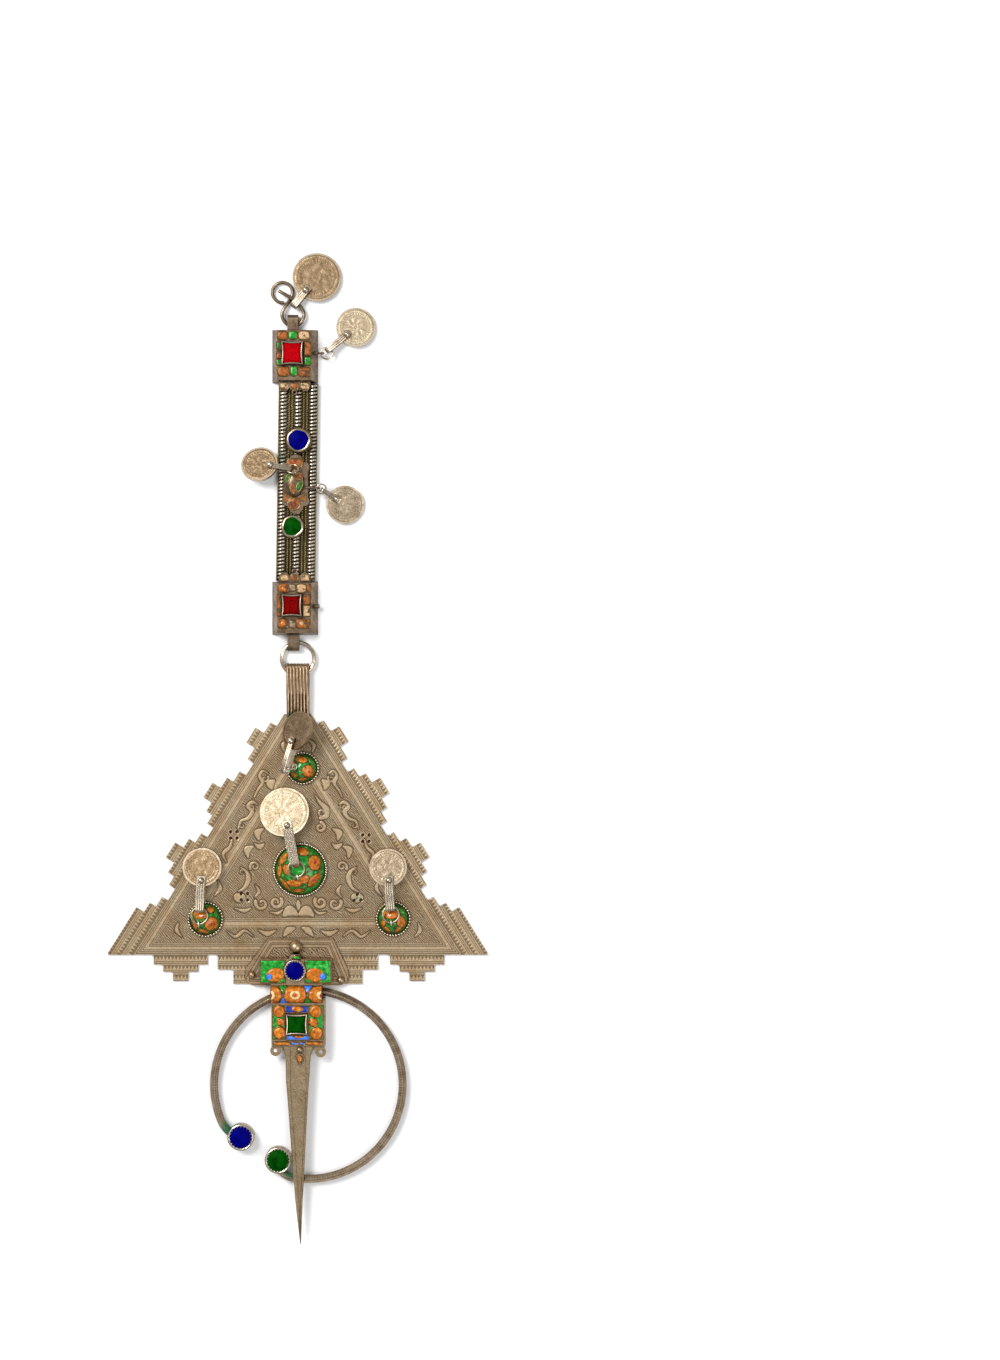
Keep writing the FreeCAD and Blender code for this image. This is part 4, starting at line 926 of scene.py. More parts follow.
CROSS_CELLS = [
    ("green", patch((-16.9, -99.1), (-16.9, -109.7), (-5.2, -109.7), (-6.0, -105.2), (-5.4, -99.1)), 0.35),
    ("green", patch((3.8, -99.1), (16.0, -99.1), (16.0, -109.7), (3.8, -109.7), (4.5, -105.2)), 0.35),
    ("amber", oval(-9.9, -106.0, 4.6, 3.4, 8), 1.0), ("sky", oval(-12.7, -106.8, 1.75), 1.55),
    ("amber", oval(8.5, -106.0, 4.6, 3.4, -8), 1.0), ("sky", oval(12.2, -106.8, 1.8), 1.55),
    ("green", patch((-2.2, -98.7), (-0.9, -97.0), (0.9, -97.0), (2.0, -98.7)), 0.5),
]
BARREL_CELLS = [
    ("amber", rounded(-0.6, BARREL_Y, 5.1, 4.1), 0.6), ("cream", oval(-0.6, BARREL_Y, 2.9, 2.5), 0.8),
    ("amber", oval(-0.6, BARREL_Y, 2.3, 2.0), 0.85), ("red", oval(-0.6, BARREL_Y, 1.2, 1.1), 1.0),
    ("amber", patch((-12.0, -111.2), (-8.6, -111.6), (-6.9, -114.2), (-6.9, -116.6), (-8.6, -119.0),
                    (-12.0, -119.3)), 0.6),
    ("cream", patch((-12.0, -112.9), (-10.2, -113.4), (-9.5, -115.3), (-10.2, -117.2),
                    (-12.0, -117.7)), 0.85),
    ("red", patch((-12.0, -114.0), (-11.0, -114.6), (-11.0, -116.2), (-12.0, -116.8)), 1.0),
    ("amber", patch((11.8, -111.2), (11.8, -119.3), (8.2, -119.0), (5.7, -116.8), (5.7, -113.8),
                    (8.0, -111.5)), 0.6),
    ("cream", patch((11.8, -112.9), (11.8, -117.7), (9.7, -117.1), (8.9, -115.2), (9.7, -113.4)), 0.85),
    ("red", patch((11.8, -114.0), (11.8, -116.8), (10.7, -116.2), (10.7, -114.6)), 1.0),
    ("green", patch((-8.4, -111.0), (-4.4, -111.0), (-5.9, -114.6), (-6.8, -114.0)), 0.3),
    ("sky", patch((3.2, -111.0), (7.6, -111.0), (5.5, -114.0), (4.7, -114.4)), 0.3),
    ("sky", patch((-8.4, -119.5), (-6.7, -116.6), (-5.9, -116.2), (-4.0, -119.5)), 0.3),
    ("green", patch((2.8, -119.5), (4.7, -116.2), (5.5, -116.8), (7.8, -119.5)), 0.3),
]
BOX_CELLS = [
    ("green", patch((-11.2, -120.4), (-5.4, -120.4), (-5.4, -135.9), (-11.2, -135.9)), 0.2),
    ("green", patch((5.6, -120.4), (12.4, -120.4), (12.4, -135.9), (5.6, -135.9)), 0.2),
    ("amber", oval(-8.2, -123.0, 2.8), 0.9), ("amber", oval(8.9, -123.0, 2.9), 0.9),
    ("amber", oval(-7.9, -133.0, 2.9), 0.9), ("amber", oval(9.3, -133.2, 3.0), 0.9),
    ("amber", oval(-7.4, -128.0, 1.9, 1.75), 0.7), ("amber", oval(7.9, -128.2, 2.1, 1.9), 0.7),
    ("blue", patch((-5.2, -120.4), (5.4, -120.4), (5.4, -123.6), (-5.2, -123.6)), 0.3),
    ("amber", oval(0.3, -121.9, 3.0, 1.3), 0.6),
    ("sky", patch((-4.8, -134.2), (6.0, -134.2), (6.2, -136.4), (-4.8, -136.4)), 0.3),
    ("amber", leaf(0.8, -134.9, 5.2, 1.4, 0), 0.6),
]
LIP_CELLS = [
    ("amber", rounded(-7.0, -138.1, 3.9, 0.75), 0.35), ("amber", rounded(8.2, -138.1, 3.9, 0.75), 0.35),
    ("sky", rounded(-0.9, -138.1, 1.6, 0.6), 0.3), ("sky", rounded(2.7, -138.1, 1.2, 0.6), 0.3),
]
lay_cells("head_cross", CROSS_CELLS, flat(CROSS_TOP), wire_r=0.25)
lay_cells("head_barrel", BARREL_CELLS, barrel, wire_r=0.22, wall=0.06)
lay_cells("head_box", BOX_CELLS, flat(BOX_TOP), wire_r=0.25)
lay_cells("head_lip", LIP_CELLS, flat(LIP_TOP), wire_r=0.2)
PIN_DROP = [("amber", teardrop(1.5, -144.9, 1.25, 1.5), 0.5)]
lay_cells("pin_drop", PIN_DROP, flat(DROP_TOP), wire_r=0.22)

# %% [markdown]
# ## Stone bezels
# The round stones of the head block and the hoop are held by serrated bezels: a strip of silver whose
# top edge is cut into teeth and pressed over the stone. From above the teeth are a ring of bright dashes.

# %% Serrated bezels
TOOTH_SIZE = (0.95, 0.42, 0.4, 1)
TOOTH_SLANT = 0.5


def soften(bm, offset, segments=1):
    bmesh.ops.bevel(bm, geom=bm.edges[:], offset=offset, offset_type="OFFSET", segments=segments, profile=0.5,
                    affect="EDGES", material=-1)


def make_bezel(name, x, y, radius, height, teeth, body):
    bm = bmesh.new()
    add_wire(bm, [(a, b, height - 0.25) for a, b in oval(x, y, radius + 0.22, count=48)], 0.3)
    for i in range(teeth):
        turn = Matrix.Translation((x, y, height)) @ Matrix.Rotation(2 * math.pi * i / teeth, 4, "Z")
        turn = turn @ Matrix.Translation((radius - 0.15, 0, 0)) @ Matrix.Rotation(TOOTH_SLANT, 4, "Z")
        tooth = bmesh.new()
        bmesh.ops.create_cube(tooth, size=1.0, matrix=turn @ Matrix.Diagonal(TOOTH_SIZE))
        soften(tooth, 0.1)
        join(bm, tooth)
    return piece(name, bm, granule_silver, body=body)


make_bezel("head_bezel_blue", -0.8, -103.9, 4.55, 9.1, 20, "brooch")
make_bezel("hoop_bezel_blue", -26.4, -182.3, 5.4, 5.5, 20, "hoop")
make_bezel("hoop_bezel_green", -8.9, -193.1, 5.4, 5.5, 20, "hoop")

# %% [markdown]
# ## Coins and their bails
# The drops are struck coins. They carry no real lettering or head here: each face has a ring of
# dots, a wreath of short strokes and a rosette, worn down as pocket money is. The relief is a wheel of
# rings and spokes whose vertices rise with the pattern, laid in the sunk face of each solid. The
# frame of a coin is read from its solid, because every coin lies at its own slant.

# %% The frame of a coin, from its solid
def flat_frame(node, towards=None):
    """The middle, across, along and normal of the solid's widest flat face, in millimetres."""
    mesh = nodes[node].data
    areas = sorted(((p.area, p.normal.copy()) for p in mesh.polygons), key=lambda item: -item[0])
    normal = Vector((0, 0, 0))
    for area, facing in areas[:200]:
        if abs(facing.dot(areas[0][1])) > 0.995:
            normal += facing * area * (1 if facing.z > 0 else -1)
    normal.normalize()
    along = Vector((0, 1, 0))
    if towards is not None:
        along = towards - sum((v.co for v in mesh.vertices), Vector()) / len(mesh.vertices) / MM
    along = (along - normal * along.dot(normal)).normalized()
    across = along.cross(normal)
    lows, highs = [], []
    for axis in (across, along, normal):
        spots = [v.co.dot(axis) / MM for v in mesh.vertices]
        lows.append(min(spots))
        highs.append(max(spots))
    middle = sum(((a + b) / 2 * axis for a, b, axis in zip(lows, highs, (across, along, normal))), Vector())
    return middle, across, along, normal, [b - a for a, b in zip(lows, highs)]


def middle_of(node):
    low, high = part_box(node)
    return (low + high) / 2 / MM


# %% Coin relief
RIM_DOTS = 44
RINGS = 34
SPOKES = 120
COIN_RIM = 0.95
RELIEF = 0.13


def coin_height(r, a, petals, strokes, seed):
    """Height from 0 to 1 of the worn pattern, at the share r of the radius and the bearing a."""
    across = 0.92 * np.abs((a * RIM_DOTS / (2 * math.pi)) % 1 - 0.5) * 2 * math.pi / RIM_DOTS
    dots = np.clip(1.3 - 11.0 * np.hypot((r - 0.92) * 1.1, across), 0, 1)
    wreath = np.clip(np.cos(a * strokes + 2.5 * np.sin(a * 7 + seed)) * 3, 0, 1)
    wreath = wreath * np.exp(-((r - 0.77) / 0.055) ** 4)
    spray = (0.5 + 0.5 * np.cos(a * petals + 6 * r + seed)) * np.exp(-((r - 0.42) / 0.17) ** 2)
    middle = np.exp(-((r - 0.16) / 0.05) ** 2)
    wear = 0.5 + 0.5 * np.sin(3 * r * np.cos(a + seed) + seed) * np.cos(4 * r * np.sin(a) + seed * 1.7)
    return np.clip(0.8 * dots + 0.7 * wreath + 0.6 * spray + 0.4 * middle, 0, 1) * (0.3 + 0.7 * wear)


def make_coin_face(name, node, bail, material, petals, strokes, seed):
    middle, across, along, normal, size = flat_frame(node, middle_of(bail))
    radius = size[0] / 2 - COIN_RIM
    thick = size[2] / 2
    bm = bmesh.new()
    for side in (1, -1):
        wheel = bmesh.new()
        spoke = [wheel.verts.new((radius * i / RINGS, 0, 0)) for i in range(RINGS + 1)]
        edges = [wheel.edges.new(pair) for pair in zip(spoke, spoke[1:])]
        bmesh.ops.spin(wheel, geom=spoke + edges, cent=(0, 0, 0), axis=(0, 0, 1), angle=2 * math.pi,
                       steps=SPOKES, use_merge=True)
        bmesh.ops.remove_doubles(wheel, verts=wheel.verts, dist=0.001)
        layer = wheel.verts.layers.float.new("relief")
        x = np.array([v.co.x for v in wheel.verts])
        y = np.array([v.co.y for v in wheel.verts])
        share = np.hypot(x, y) / radius
        height = coin_height(share, np.arctan2(y, x), petals, strokes, seed + side)
        height = height * np.clip((1 - share) / 0.03, 0, 1)
        for vert, h in zip(wheel.verts, height):
            vert[layer] = float(h)
            level = side * (thick - RELIEF + RELIEF * float(h))
            vert.co = middle + across * vert.co.x * side + along * vert.co.y + normal * level
        bmesh.ops.scale(wheel, vec=(MM, MM, MM), verts=wheel.verts)
        step = bpy.data.meshes.new("step")
        bmesh.ops.recalc_face_normals(wheel, faces=wheel.faces)
        if sum((f.normal.dot(normal) * f.calc_area() for f in wheel.faces)) * side < 0:
            bmesh.ops.reverse_faces(wheel, faces=wheel.faces)
        wheel.to_mesh(step)
        bm.from_mesh(step)
        wheel.free()
        bpy.data.meshes.remove(step)
    return piece(name, bm, material, outward=False, crisp=80)


def engrave_coin(tree, mm):
    relief = carried(tree, "relief")
    # grime in the small pits of a worn face
    grime = remap(tree, noise(tree, mm, 1.5, 3.0, 0.7), 0.5, 0.62, 1.0, 0.5)
    tone = maths(tree, "MULTIPLY", grime, remap(tree, relief, 0.0, 0.35, 0.72, 1.0))
    return tone, maths(tree, "ADD", tone, relief)


COIN_FACES = {
    # finish, petals, strokes, seed
    "centre": ("pale", 8, 36, 0.3), "left": ("warm", 6, 40, 1.1), "right": ("plain", 5, 32, 2.3),
    "top": ("brown", 6, 30, 3.1), "strap_left": ("warm", 7, 34, 4.2), "strap_right": ("plain", 6, 38, 5.0),
    "block": ("pale", 8, 40, 6.4), "hook": ("warm", 6, 44, 7.7),
}
COIN_FINISHES = {
    # name, pale, middle and dark tone, roughness, size of the tarnish clouds
    "pale": ("coin face rubbed pale", "#e2d2b6", "#cdb998", "#75603f", 0.5, 4.0),
    "plain": ("coin face worn smooth", "#cbb99c", "#a8967c", "#55432e", 0.46, 4.0),
    "warm": ("coin face with warm tarnish", "#bda380", "#93795a", "#4c3824", 0.46, 3.0),
    "brown": ("coin face browned", "#a08a6c", "#775f45", "#33251a", 0.46, 3.0),
}
COIN_METALS = {key: make_silver(*finish, engraving=engrave_coin) for key, finish in COIN_FINISHES.items()}
for place, (metal, *pattern) in COIN_FACES.items():
    make_coin_face(f"coin_face_{place}", f"coin_{place}", f"coin_bail_{place}", COIN_METALS[metal], *pattern)

# %% [markdown]
# The bails are strips folded round the ring, made of parallel wires soldered side by side. The
# solid has the strip, and half-round wires are laid along its face here.

# %% Ribs of the bails
BAIL_RIBS = {
    "centre": 6, "left": 4, "right": 4, "top": 3, "strap_left": 3, "strap_right": 2, "block": 3, "hook": 4,
}


def make_ribs(place, count):
    coin_middle = flat_frame(f"coin_{place}")[0]
    bail = middle_of(f"coin_bail_{place}")
    mesh = nodes[f"coin_bail_{place}"].data
    across, along, normal = flat_frame(f"coin_bail_{place}", bail + (bail - coin_middle) * 3)[1:4]
    spots = [(v.co.dot(across) / MM, v.co.dot(along) / MM, v.co.dot(normal) / MM) for v in mesh.vertices]
    near, far = min(s[1] for s in spots), max(s[1] for s in spots)
    strip = [s[0] for s in spots if s[1] > (near + far) / 2]
    width = max(strip) - min(strip)
    centre = (max(strip) + min(strip)) / 2
    top = max(s[2] for s in spots if s[1] > far - (far - near) * 0.3)
    bm = bmesh.new()
    pitch = width / count
    profile = ((near + 3.4, 0.0), ((near + far) / 2, 0.03), (far - 1.3, 0.0), (far - 0.5, -0.35),
               (far - 0.05, -1.0))
    for i in range(count):
        u = centre + (i - (count - 1) / 2) * pitch
        path = [across * u + along * v + normal * (top - 0.1 + drop) for v, drop in profile]
        add_wire(bm, path, pitch * 0.42, closed=False, sides=8)
    return piece(f"bail_ribs_{place}", bm, wire_silver)


for place, count in BAIL_RIBS.items():
    make_ribs(place, count)

# %% [markdown]
# ## The strap
# The strap is three springs of coiled wire, side by side, with pairs of twisted wire between them. A
# coil is one operator: spin a ring of wire round the column while it climbs, which is what dvec does.

# %% Coils and twisted wires of the strap band
BAND_LOW, BAND_HIGH = 78.3, 170.9
BAND_MIDDLE = Vector((-0.25, 124.6, 0.0))
BAND_LEAN = math.radians(-0.84)
COLUMNS = (-6.75, 0.07, 7.05)
TWISTS = (-4.1, -2.6, 2.65, 4.2)
EDGES = (-8.95, 9.05)
# half width, height of the middle, half height, wire radius
COIL_SECTION = (2.1, 1.95, 1.75, 0.47)
TWIST_SECTION = (0.72, 2.35, 0.7, 0.36)
COIL_PITCH = 1.66
TWIST_PITCH = 2.1
BED_HALF = 9.2
BED_T = 1.8
BAND_TILT = Matrix.Translation(BAND_MIDDLE) @ Matrix.Rotation(BAND_LEAN, 4, "Z")
BAND_TILT = BAND_TILT @ Matrix.Translation((0, -BAND_MIDDLE.y, 0))


def add_coil(bm, x, half_wide, z, half_high, wire_r, pitch, sides=6, per_turn=14, phase=0.0):
    """A spring along the band, oval in section."""
    spring = bmesh.new()
    length = BAND_HIGH - BAND_LOW - 2 * wire_r
    turns = length / pitch
    steps = int(turns * per_turn)
    section = Matrix.Translation((1.0, 0, 0)) @ Matrix.Diagonal((wire_r / half_wide, wire_r, wire_r, 1))
    bmesh.ops.create_circle(spring, segments=sides, radius=1.0, matrix=section)
    bmesh.ops.rotate(spring, verts=spring.verts, cent=(0, 0, 0), matrix=Matrix.Rotation(phase, 3, "Y"))
    bmesh.ops.translate(spring, vec=(0, BAND_LOW + wire_r, 0), verts=spring.verts)
    bmesh.ops.spin(spring, geom=spring.verts[:] + spring.edges[:], cent=(0, BAND_LOW, 0), axis=(0, 1, 0),
                   dvec=(0, length / steps, 0), angle=2 * math.pi * turns, steps=steps, use_merge=False)
    bmesh.ops.scale(spring, vec=(half_wide - wire_r, 1, half_high - wire_r), verts=spring.verts)
    bmesh.ops.translate(spring, vec=(x, 0, z), verts=spring.verts)
    bmesh.ops.holes_fill(spring, edges=spring.edges, sides=sides)
    bmesh.ops.transform(spring, matrix=BAND_TILT, verts=spring.verts)
    join(bm, spring)


def make_band():
    bed = bmesh.new()
    plate = bmesh.new()
    form = Matrix.Translation((0, (BAND_LOW + BAND_HIGH) / 2, BED_T / 2))
    form = form @ Matrix.Diagonal((2 * BED_HALF, BAND_HIGH - BAND_LOW, BED_T, 1))
    bmesh.ops.create_cube(plate, size=1.0, matrix=form)
    soften(plate, 0.3, segments=2)
    bmesh.ops.transform(plate, matrix=BAND_TILT, verts=plate.verts)
    join(bed, plate)
    piece("strap_bed", bed, block_silver, stands_for=("strap_band",))
    coils = bmesh.new()
    for x in COLUMNS:
        add_coil(coils, x, *COIL_SECTION, COIL_PITCH)
    piece("strap_coils", coils, strap_wire_silver, stands_for=("strap_band",))
    twists = bmesh.new()
    for x in TWISTS:
        for phase in (0.0, math.pi):
            add_coil(twists, x, *TWIST_SECTION, TWIST_PITCH, sides=5, per_turn=8, phase=phase)
    for x in EDGES:
        edge = [BAND_TILT @ Vector((x, BAND_LOW + (BAND_HIGH - BAND_LOW) * i / 20, 2.2)) for i in range(21)]
        add_wire(twists, edge, 0.3, closed=False)
    piece("strap_twists", twists, strap_twist_silver, stands_for=("strap_band",))


strap_wire_silver = make_silver("coiled strap wire", "#efe6d6", "#c2b5a0", "#0e0904", 0.28, cloud=5.0,
                                hollow=0.9, verdigris=[(-8.4, 137.0, 3.0, 7.0, 0.35)])
strap_twist_silver = make_silver("twisted strap wire", "#b7a56c", "#7f6f42", "#161006", 0.34, cloud=5.0,
                                 hollow=0.9)
make_band()

# %% [markdown]
# ## Blocks, studs and the middle mount
# The strap's two blocks and its mount have the same enamel as the head, more worn.

# %% Enamel of the strap's blocks
BLOCK_TOP = 7.02
BAND_TOP = 4.6
LOWER_CELLS = [
    ("worn_amber", rounded(-6.3, 74.8, 2.5, 2.0), 0.6), ("worn_silver", rounded(-2.0, 75.0, 1.5, 1.6), 0.3),
    ("worn_cream", rounded(2.2, 74.6, 2.3, 2.0), 0.5), ("worn_amber", rounded(5.6, 74.8, 0.9, 1.8), 0.4),
    ("amber", oval(-6.3, 74.4, 1.5, 1.3), 0.95),
    ("worn_amber", rounded(-6.4, 58.2, 2.5, 2.2), 0.6), ("amber", oval(-6.4, 58.2, 1.5), 0.95),
    ("worn_silver", rounded(-2.1, 58.0, 1.5, 1.8), 0.3), ("worn_amber", rounded(2.2, 58.2, 2.4, 2.2), 0.55),
    ("worn_cream", oval(2.2, 58.4, 1.3), 0.85), ("worn_amber", rounded(5.7, 58.0, 0.8, 2.0), 0.4),
    ("worn_amber", patch((-9.2, 71.8), (-7.5, 71.8), (-7.5, 61.6), (-9.2, 61.6)), 0.25),
    ("worn_amber", patch((3.0, 71.8), (6.2, 71.8), (6.2, 67.2), (3.0, 67.2)), 0.25),
    ("worn_cream", patch((3.0, 66.6), (6.2, 66.6), (6.2, 61.6), (3.0, 61.6)), 0.25),
]
UPPER_CELLS = [
    ("worn_amber", rounded(-6.8, 192.8, 2.4, 2.0), 0.5), ("green", rounded(-1.8, 193.0, 2.0, 1.9), 0.5),
    ("worn_cream", rounded(3.4, 192.9, 2.6, 2.0), 0.45),
    ("worn_amber", rounded(-6.3, 176.0, 2.8, 2.2), 0.6), ("green", rounded(-1.4, 176.2, 1.6, 2.3), 0.45),
    ("worn_amber", rounded(3.6, 175.8, 2.8, 2.2), 0.6),
    ("worn_green", patch((-9.5, 189.8), (-7.4, 189.8), (-7.4, 186.2), (-9.5, 186.2)), 0.25),
    ("worn_amber", patch((-9.5, 185.6), (-7.4, 185.6), (-7.4, 182.2), (-9.5, 182.2)), 0.25),
    ("green", patch((-9.5, 181.6), (-7.4, 181.6), (-7.4, 179.0), (-9.5, 179.0)), 0.25),
    ("worn_amber", patch((3.6, 189.8), (6.6, 189.8), (6.6, 183.4), (3.6, 183.4)), 0.25),
    ("green", patch((3.6, 182.8), (6.6, 182.8), (6.6, 179.0), (3.6, 179.0)), 0.25),
]
lay_cells("strap_lower", LOWER_CELLS, flat(BLOCK_TOP), wire_r=0.24)
for end, side_y, middle_y in (("lower", 79.7, 79.9), ("upper", 169.5, 169.3)):
    lobes = [
        ("worn_cream", rounded(-6.0, side_y, 1.9, 1.5), 0.3),
        ("worn_amber", rounded(-1.2, middle_y, 1.7, 1.5), 0.3),
        ("worn_cream", rounded(3.6, side_y, 1.9, 1.5), 0.3),
    ]
    lay_cells(f"strap_lobes_{end}", lobes, flat(BAND_TOP), wire_r=0.24,
              metal=lobe_wire)
lay_cells("strap_upper", UPPER_CELLS, flat(BLOCK_TOP), wire_r=0.24)

# %% Enamel of the middle mount
MOUNT_TOP = 4.62
# middle, half sizes and rise of its oval dome
MOUNT_DOME = (-1.4, 124.0, 4.6, 6.4, 3.0)


def mount_ground(x, y):
    cx, cy, rx, ry, rise = MOUNT_DOME
    q = ((x - cx) / rx) ** 2 + ((y - cy) / ry) ** 2
    return MOUNT_TOP + rise * math.sqrt(max(1 - q, 0))


MOUNT_CELLS = [
    ("worn_amber", oval(-1.6, 114.2, 2.9, 2.8), 0.5), ("red", oval(-1.6, 114.0, 0.8), 0.8),
    ("worn_amber", patch((-6.2, 119.4), (-2.4, 117.6), (-6.2, 115.0)), 0.4),
    ("worn_amber", patch((4.0, 119.4), (4.0, 115.0), (0.0, 117.6)), 0.4),
    ("worn_amber", rounded(-1.1, 133.4, 3.6, 2.1), 0.5), ("red", oval(-1.0, 133.6, 1.0, 0.7), 0.8),
    ("worn_green", leaf(1.2, 122.4, 5.4, 2.4, 68), 0.3),
    ("worn_amber", leaf(-2.0, 121.4, 5.0, 2.3, 100), 0.3),
    ("worn_amber", oval(0.8, 127.0, 1.9, 1.6), 0.3), ("worn_green", leaf(-4.2, 126.2, 4.4, 1.9, 75), 0.3),
    ("worn_cream", oval(-1.4, 129.6, 1.6, 0.9), 0.3),
]
lay_cells("strap_mount", MOUNT_CELLS, mount_ground, wire_r=0.26, metal=lobe_wire)

# %% Bezels of the strap's round stones
def make_plain_bezel(name, x, y, radius, height, seed):
    """A plain strip pressed over the stone by hand, so its edge wavers."""
    bm = bmesh.new()
    line = []
    for i in range(40):
        a = 2 * math.pi * i / 40
        r = radius + 0.16 + 0.12 * math.sin(3 * a + seed) + 0.08 * math.sin(7 * a + 2 * seed)
        line.append((x + r * math.cos(a), y + r * math.sin(a), height + 0.12 * math.sin(2 * a + seed)))
    add_wire(bm, line, 0.42, sides=8)
    return piece(name, bm, wire_silver)


make_plain_bezel("strap_bezel_blue", 0.8, 143.9, 4.8, 7.6, 0.7)
make_plain_bezel("strap_bezel_green", -2.0, 103.5, 4.4, 7.6, 2.1)

# %% Rims of the square seats
SQUARE_RIMS = {
    # middle, half sizes, height, slot
    "head_rim": (0.0, -128.95, 4.7, 4.5, 9.65, "enamelled_silver"),
    "strap_rim_lower": (-2.3, 66.7, 4.35, 4.85, 9.05, "worn_enamelled_silver"),
    "strap_rim_upper": (-2.0, 184.5, 4.75, 5.2, 9.05, "worn_enamelled_silver"),
}
CORNERS = [(-1, -1), (1, -1), (1, 1), (-1, 1)]
PINCH = 0.09


def make_square_rim(name, x, y, half_x, half_y, height, slot):
    """A wire round a square stone, drawn in a little in the middle of each side."""
    bm = bmesh.new()
    line = []
    for (ax, ay), (bx, by) in zip(CORNERS, CORNERS[1:] + CORNERS[:1]):
        for t in (i / 8 for i in range(8)):
            pinch = 1 - PINCH * math.sin(math.pi * t)
            u, v = ax + (bx - ax) * t, ay + (by - ay) * t
            u, v = (u * pinch, v) if ax == bx else (u, v * pinch)
            line.append((x + u * half_x, y + v * half_y, height))
    add_wire(bm, line, 0.34, sides=8)
    piece(name, bm, wire_silver)


for name, rim in SQUARE_RIMS.items():
    make_square_rim(name, *rim)

# %% [markdown]
# ## The head plate, the hoop and the pin
# These keep their solids' shapes. Their punched and scratched ornament is too shallow to change a
# shape, so it is only in their materials, set out from the same middles as the solids.

# %% Engraving of the head plate
HEAD_PLATE_TOP = 2.35
HEAD_EDGES = [
    # a point on each edge and the way in from it
    (0.0, -89.5, 0.0, -1.0), (16.5, -89.5, -0.923, -0.385), (-13.6, -89.5, 0.853, -0.522),
    (24.0, -107.5, -1.0, 0.0), (-24.6, -107.5, 1.0, 0.0), (0.0, -111.5, 0.0, 1.0),
]
HEAD_BANDS = [
    # how far in, and how bright the strip is from there on
    (0.0, 0.9), (0.5, 0.1), (0.75, 1.0), (1.9, 0.1), (2.15, 0.9), (2.6, 0.2), (2.85, 0.95), (4.1, 0.15),
    (4.35, 0.8),
]
HEAD_BORDER = 4.35


def engrave_head_plate(tree, mm):
    inward = None
    for x, y, nx, ny in HEAD_EDGES:
        depth = maths(tree, "SUBTRACT", measure(tree, "DOT_PRODUCT", mm, (nx, ny, 0)), x * nx + y * ny)
        inward = depth if inward is None else maths(tree, "MINIMUM", inward, depth)
    bands = banded(tree, inward, 0.0, 8.0, HEAD_BANDS)
    cuts = remap(tree, hatching(tree, mm, 0.42, 1.5, 1.0), 0.12, 0.34, 0.1, 0.9)
    tone = mix(tree, maths(tree, "GREATER_THAN", inward, HEAD_BORDER), bands, cuts)
    height = add(tree, "SeparateXYZ", {0: mm}).outputs[2]
    plain = mix(tree, maths(tree, "GREATER_THAN", height, HEAD_PLATE_TOP), tone, 0.95)
    return plain, plain


# %% Stamping of the hoop and the pin
def dotted(tree, u, v, pitch_u, pitch_v):
    """A field of punched dots: 1 between them and 0.25 in each."""
    far = [remap(tree, maths(tree, "PINGPONG", place, pitch / 2), 0.0, pitch / 2)
           for place, pitch in ((u, pitch_u), (v, pitch_v))]
    return remap(tree, maths(tree, "MAXIMUM", *far), 0.35, 0.65, 0.25, 1.0)


def uneven(tree, mm, tone, size):
    """Lets a punched field fade here and there, where the punch fell lightly or the metal is worn."""
    worn = remap(tree, noise(tree, mm, 1 / size, 3.0), 0.5, 0.68, 0.0, 0.85)
    return mix(tree, worn, tone, 0.85)


HOOP_MIDDLE = (5.15, -157.9, 0.0)
HOOP_R = 44.2
STAMPED_EDGE = 0.95


def engrave_hoop(tree, mm):
    arm = add(tree, "VectorMath", {0: mm, 1: HOOP_MIDDLE}, operation="SUBTRACT").outputs[0]
    x, y, z = add(tree, "SeparateXYZ", {0: arm}).outputs
    level = add(tree, "CombineXYZ", {0: x, 1: y}).outputs[0]
    run = maths(tree, "MULTIPLY", maths(tree, "ARCTAN2", y, x), HOOP_R)
    across = maths(tree, "SUBTRACT", measure(tree, "LENGTH", level), HOOP_R - 0.65)
    stamps = uneven(tree, mm, dotted(tree, across, run, 1.0, 1.25), 1.6)
    ridge = uneven(tree, mm, remap(tree, across, STAMPED_EDGE, 1.25, 0.2, 0.8), 2.5)
    tone = mix(tree, maths(tree, "LESS_THAN", across, STAMPED_EDGE), ridge, stamps)
    return tone, tone


def engrave_pin(tree, mm):
    x, y, z = add(tree, "SeparateXYZ", {0: mm}).outputs
    middle = remap(tree, y, -141.0, -227.0, 0.6, 1.55)
    side = maths(tree, "ABSOLUTE", maths(tree, "SUBTRACT", x, middle))
    near = add(tree, "TexVoronoi", {"Vector": mm, "Scale": 1.45, "Randomness": 0.75}).outputs["Distance"]
    dots = uneven(tree, mm, remap(tree, near, 0.2, 0.42, 0.25, 1.0), 3.0)
    half = remap(tree, y, -160.0, -215.0, 3.6, 0.2)
    scored = maths(tree, "COMPARE", maths(tree, "SUBTRACT", side, half), 0.0, 0.12)
    tone = mix(tree, scored, dots, 0.3)
    return tone, tone


HOOP_VERDIGRIS = [(-31.5, -178.6, 4.0, 6.5, 0.5), (-3.2, -198.6, 4.0, 5.5, 0.45)]
ENGRAVED = {
    "head_plate": make_silver("scratched head plate", "#cfb592", "#a68a67", "#33241a", 0.4,
                              engraving=engrave_head_plate),
    "hoop": make_silver("stamped hoop silver", "#c4b096", "#8d775c", "#2f2216", 0.36, cloud=5.0,
                        engraving=engrave_hoop, verdigris=HOOP_VERDIGRIS),
    "pin": make_silver("dot-punched pin silver", "#c2ab8a", "#96805f", "#4a3825", 0.4, cloud=6.0,
                       engraving=engrave_pin),
}
for name, finish in ENGRAVED.items():
    nodes[name].data.materials[0] = finish

# %% [markdown]
# ## Neck loop
# The neck loop that carries the link ring is a strip of seven half-round wires.

# %% Ribs of the neck loop
NECK_RIBS = 7


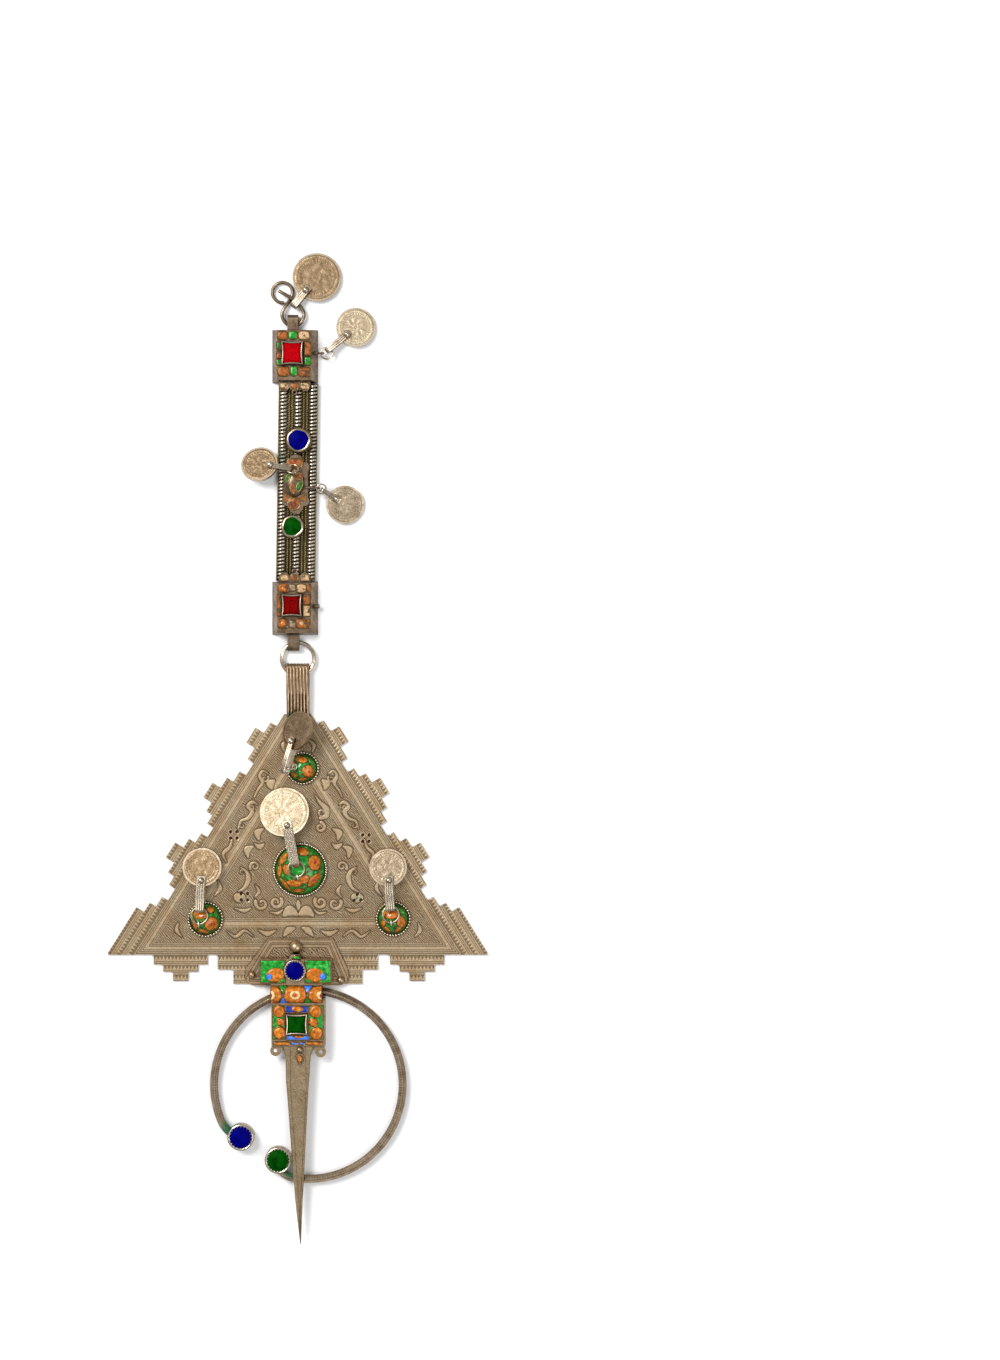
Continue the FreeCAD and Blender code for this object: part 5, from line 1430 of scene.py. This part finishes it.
def make_neck_ribs():
    bm = bmesh.new()
    low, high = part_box("neck_loop")
    x0, x1, y0, y1, top = low.x / MM, high.x / MM, low.y / MM, high.y / MM, high.z / MM
    pitch = (x1 - x0) / NECK_RIBS
    profile = ((y0 + 0.3, 1.6), (y0 + 5.0, 0.35), ((y0 + y1) / 2, 0.25), (y1 - 2.6, 0.25), (y1 - 1.0, 0.9),
               (y1 - 0.35, 2.2))
    for i in range(NECK_RIBS):
        x = x0 + (i + 0.5) * pitch
        path = [(x, y, top - drop) for y, drop in profile]
        add_wire(bm, path, pitch * 0.44, closed=False, sides=8)
    return piece("neck_ribs", bm, neck_silver)


make_neck_ribs()

# %% [markdown]
# ## The table and the light
# The table is white. One square lamp stands to the upper left and a weaker, larger one to the lower
# right, and the metal mirrors a pale room all round.

# %% Floor and light
floor_bm = bmesh.new()
bmesh.ops.create_grid(floor_bm, x_segments=2, y_segments=2, size=3.0)
floor_mesh = bpy.data.meshes.new("floor")
floor_bm.to_mesh(floor_mesh)
floor_bm.free()
floor = bpy.data.objects.new("floor", floor_mesh)
bpy.context.scene.collection.objects.link(floor)
paper, tree, surface, mm = shader("white paper")
plug(tree, surface, {"Base Color": linear("#fbfbfb"), "Roughness": 0.9})
floor_mesh.materials.append(paper)

LAMPS_AIM = Vector((0.02, 0.0, 0.0))
LAMPS = [
    # name, place, width, power
    ("key", (-0.8, 0.7, 1.3), 0.8, 27.0),
    ("fill", (1.0, -0.5, 1.5), 1.2, 13.0),
]
for name, place, width, power in LAMPS:
    lamp_data = bpy.data.lights.new(name, "AREA")
    lamp_data.shape = "SQUARE"
    lamp_data.size = width
    lamp_data.energy = power
    lamp = bpy.data.objects.new(name, lamp_data)
    lamp.location = place
    aim = LAMPS_AIM - Vector(place)
    lamp.rotation_euler = aim.to_track_quat("-Z", "Y").to_euler()
    bpy.context.scene.collection.objects.link(lamp)
world = bpy.data.worlds.new("studio")
world.use_nodes = True
room = world.node_tree.nodes["Background"]
plug(world.node_tree, room, {"Color": linear("#f4f6fa"), "Strength": 0.45})
bpy.context.scene.world = world
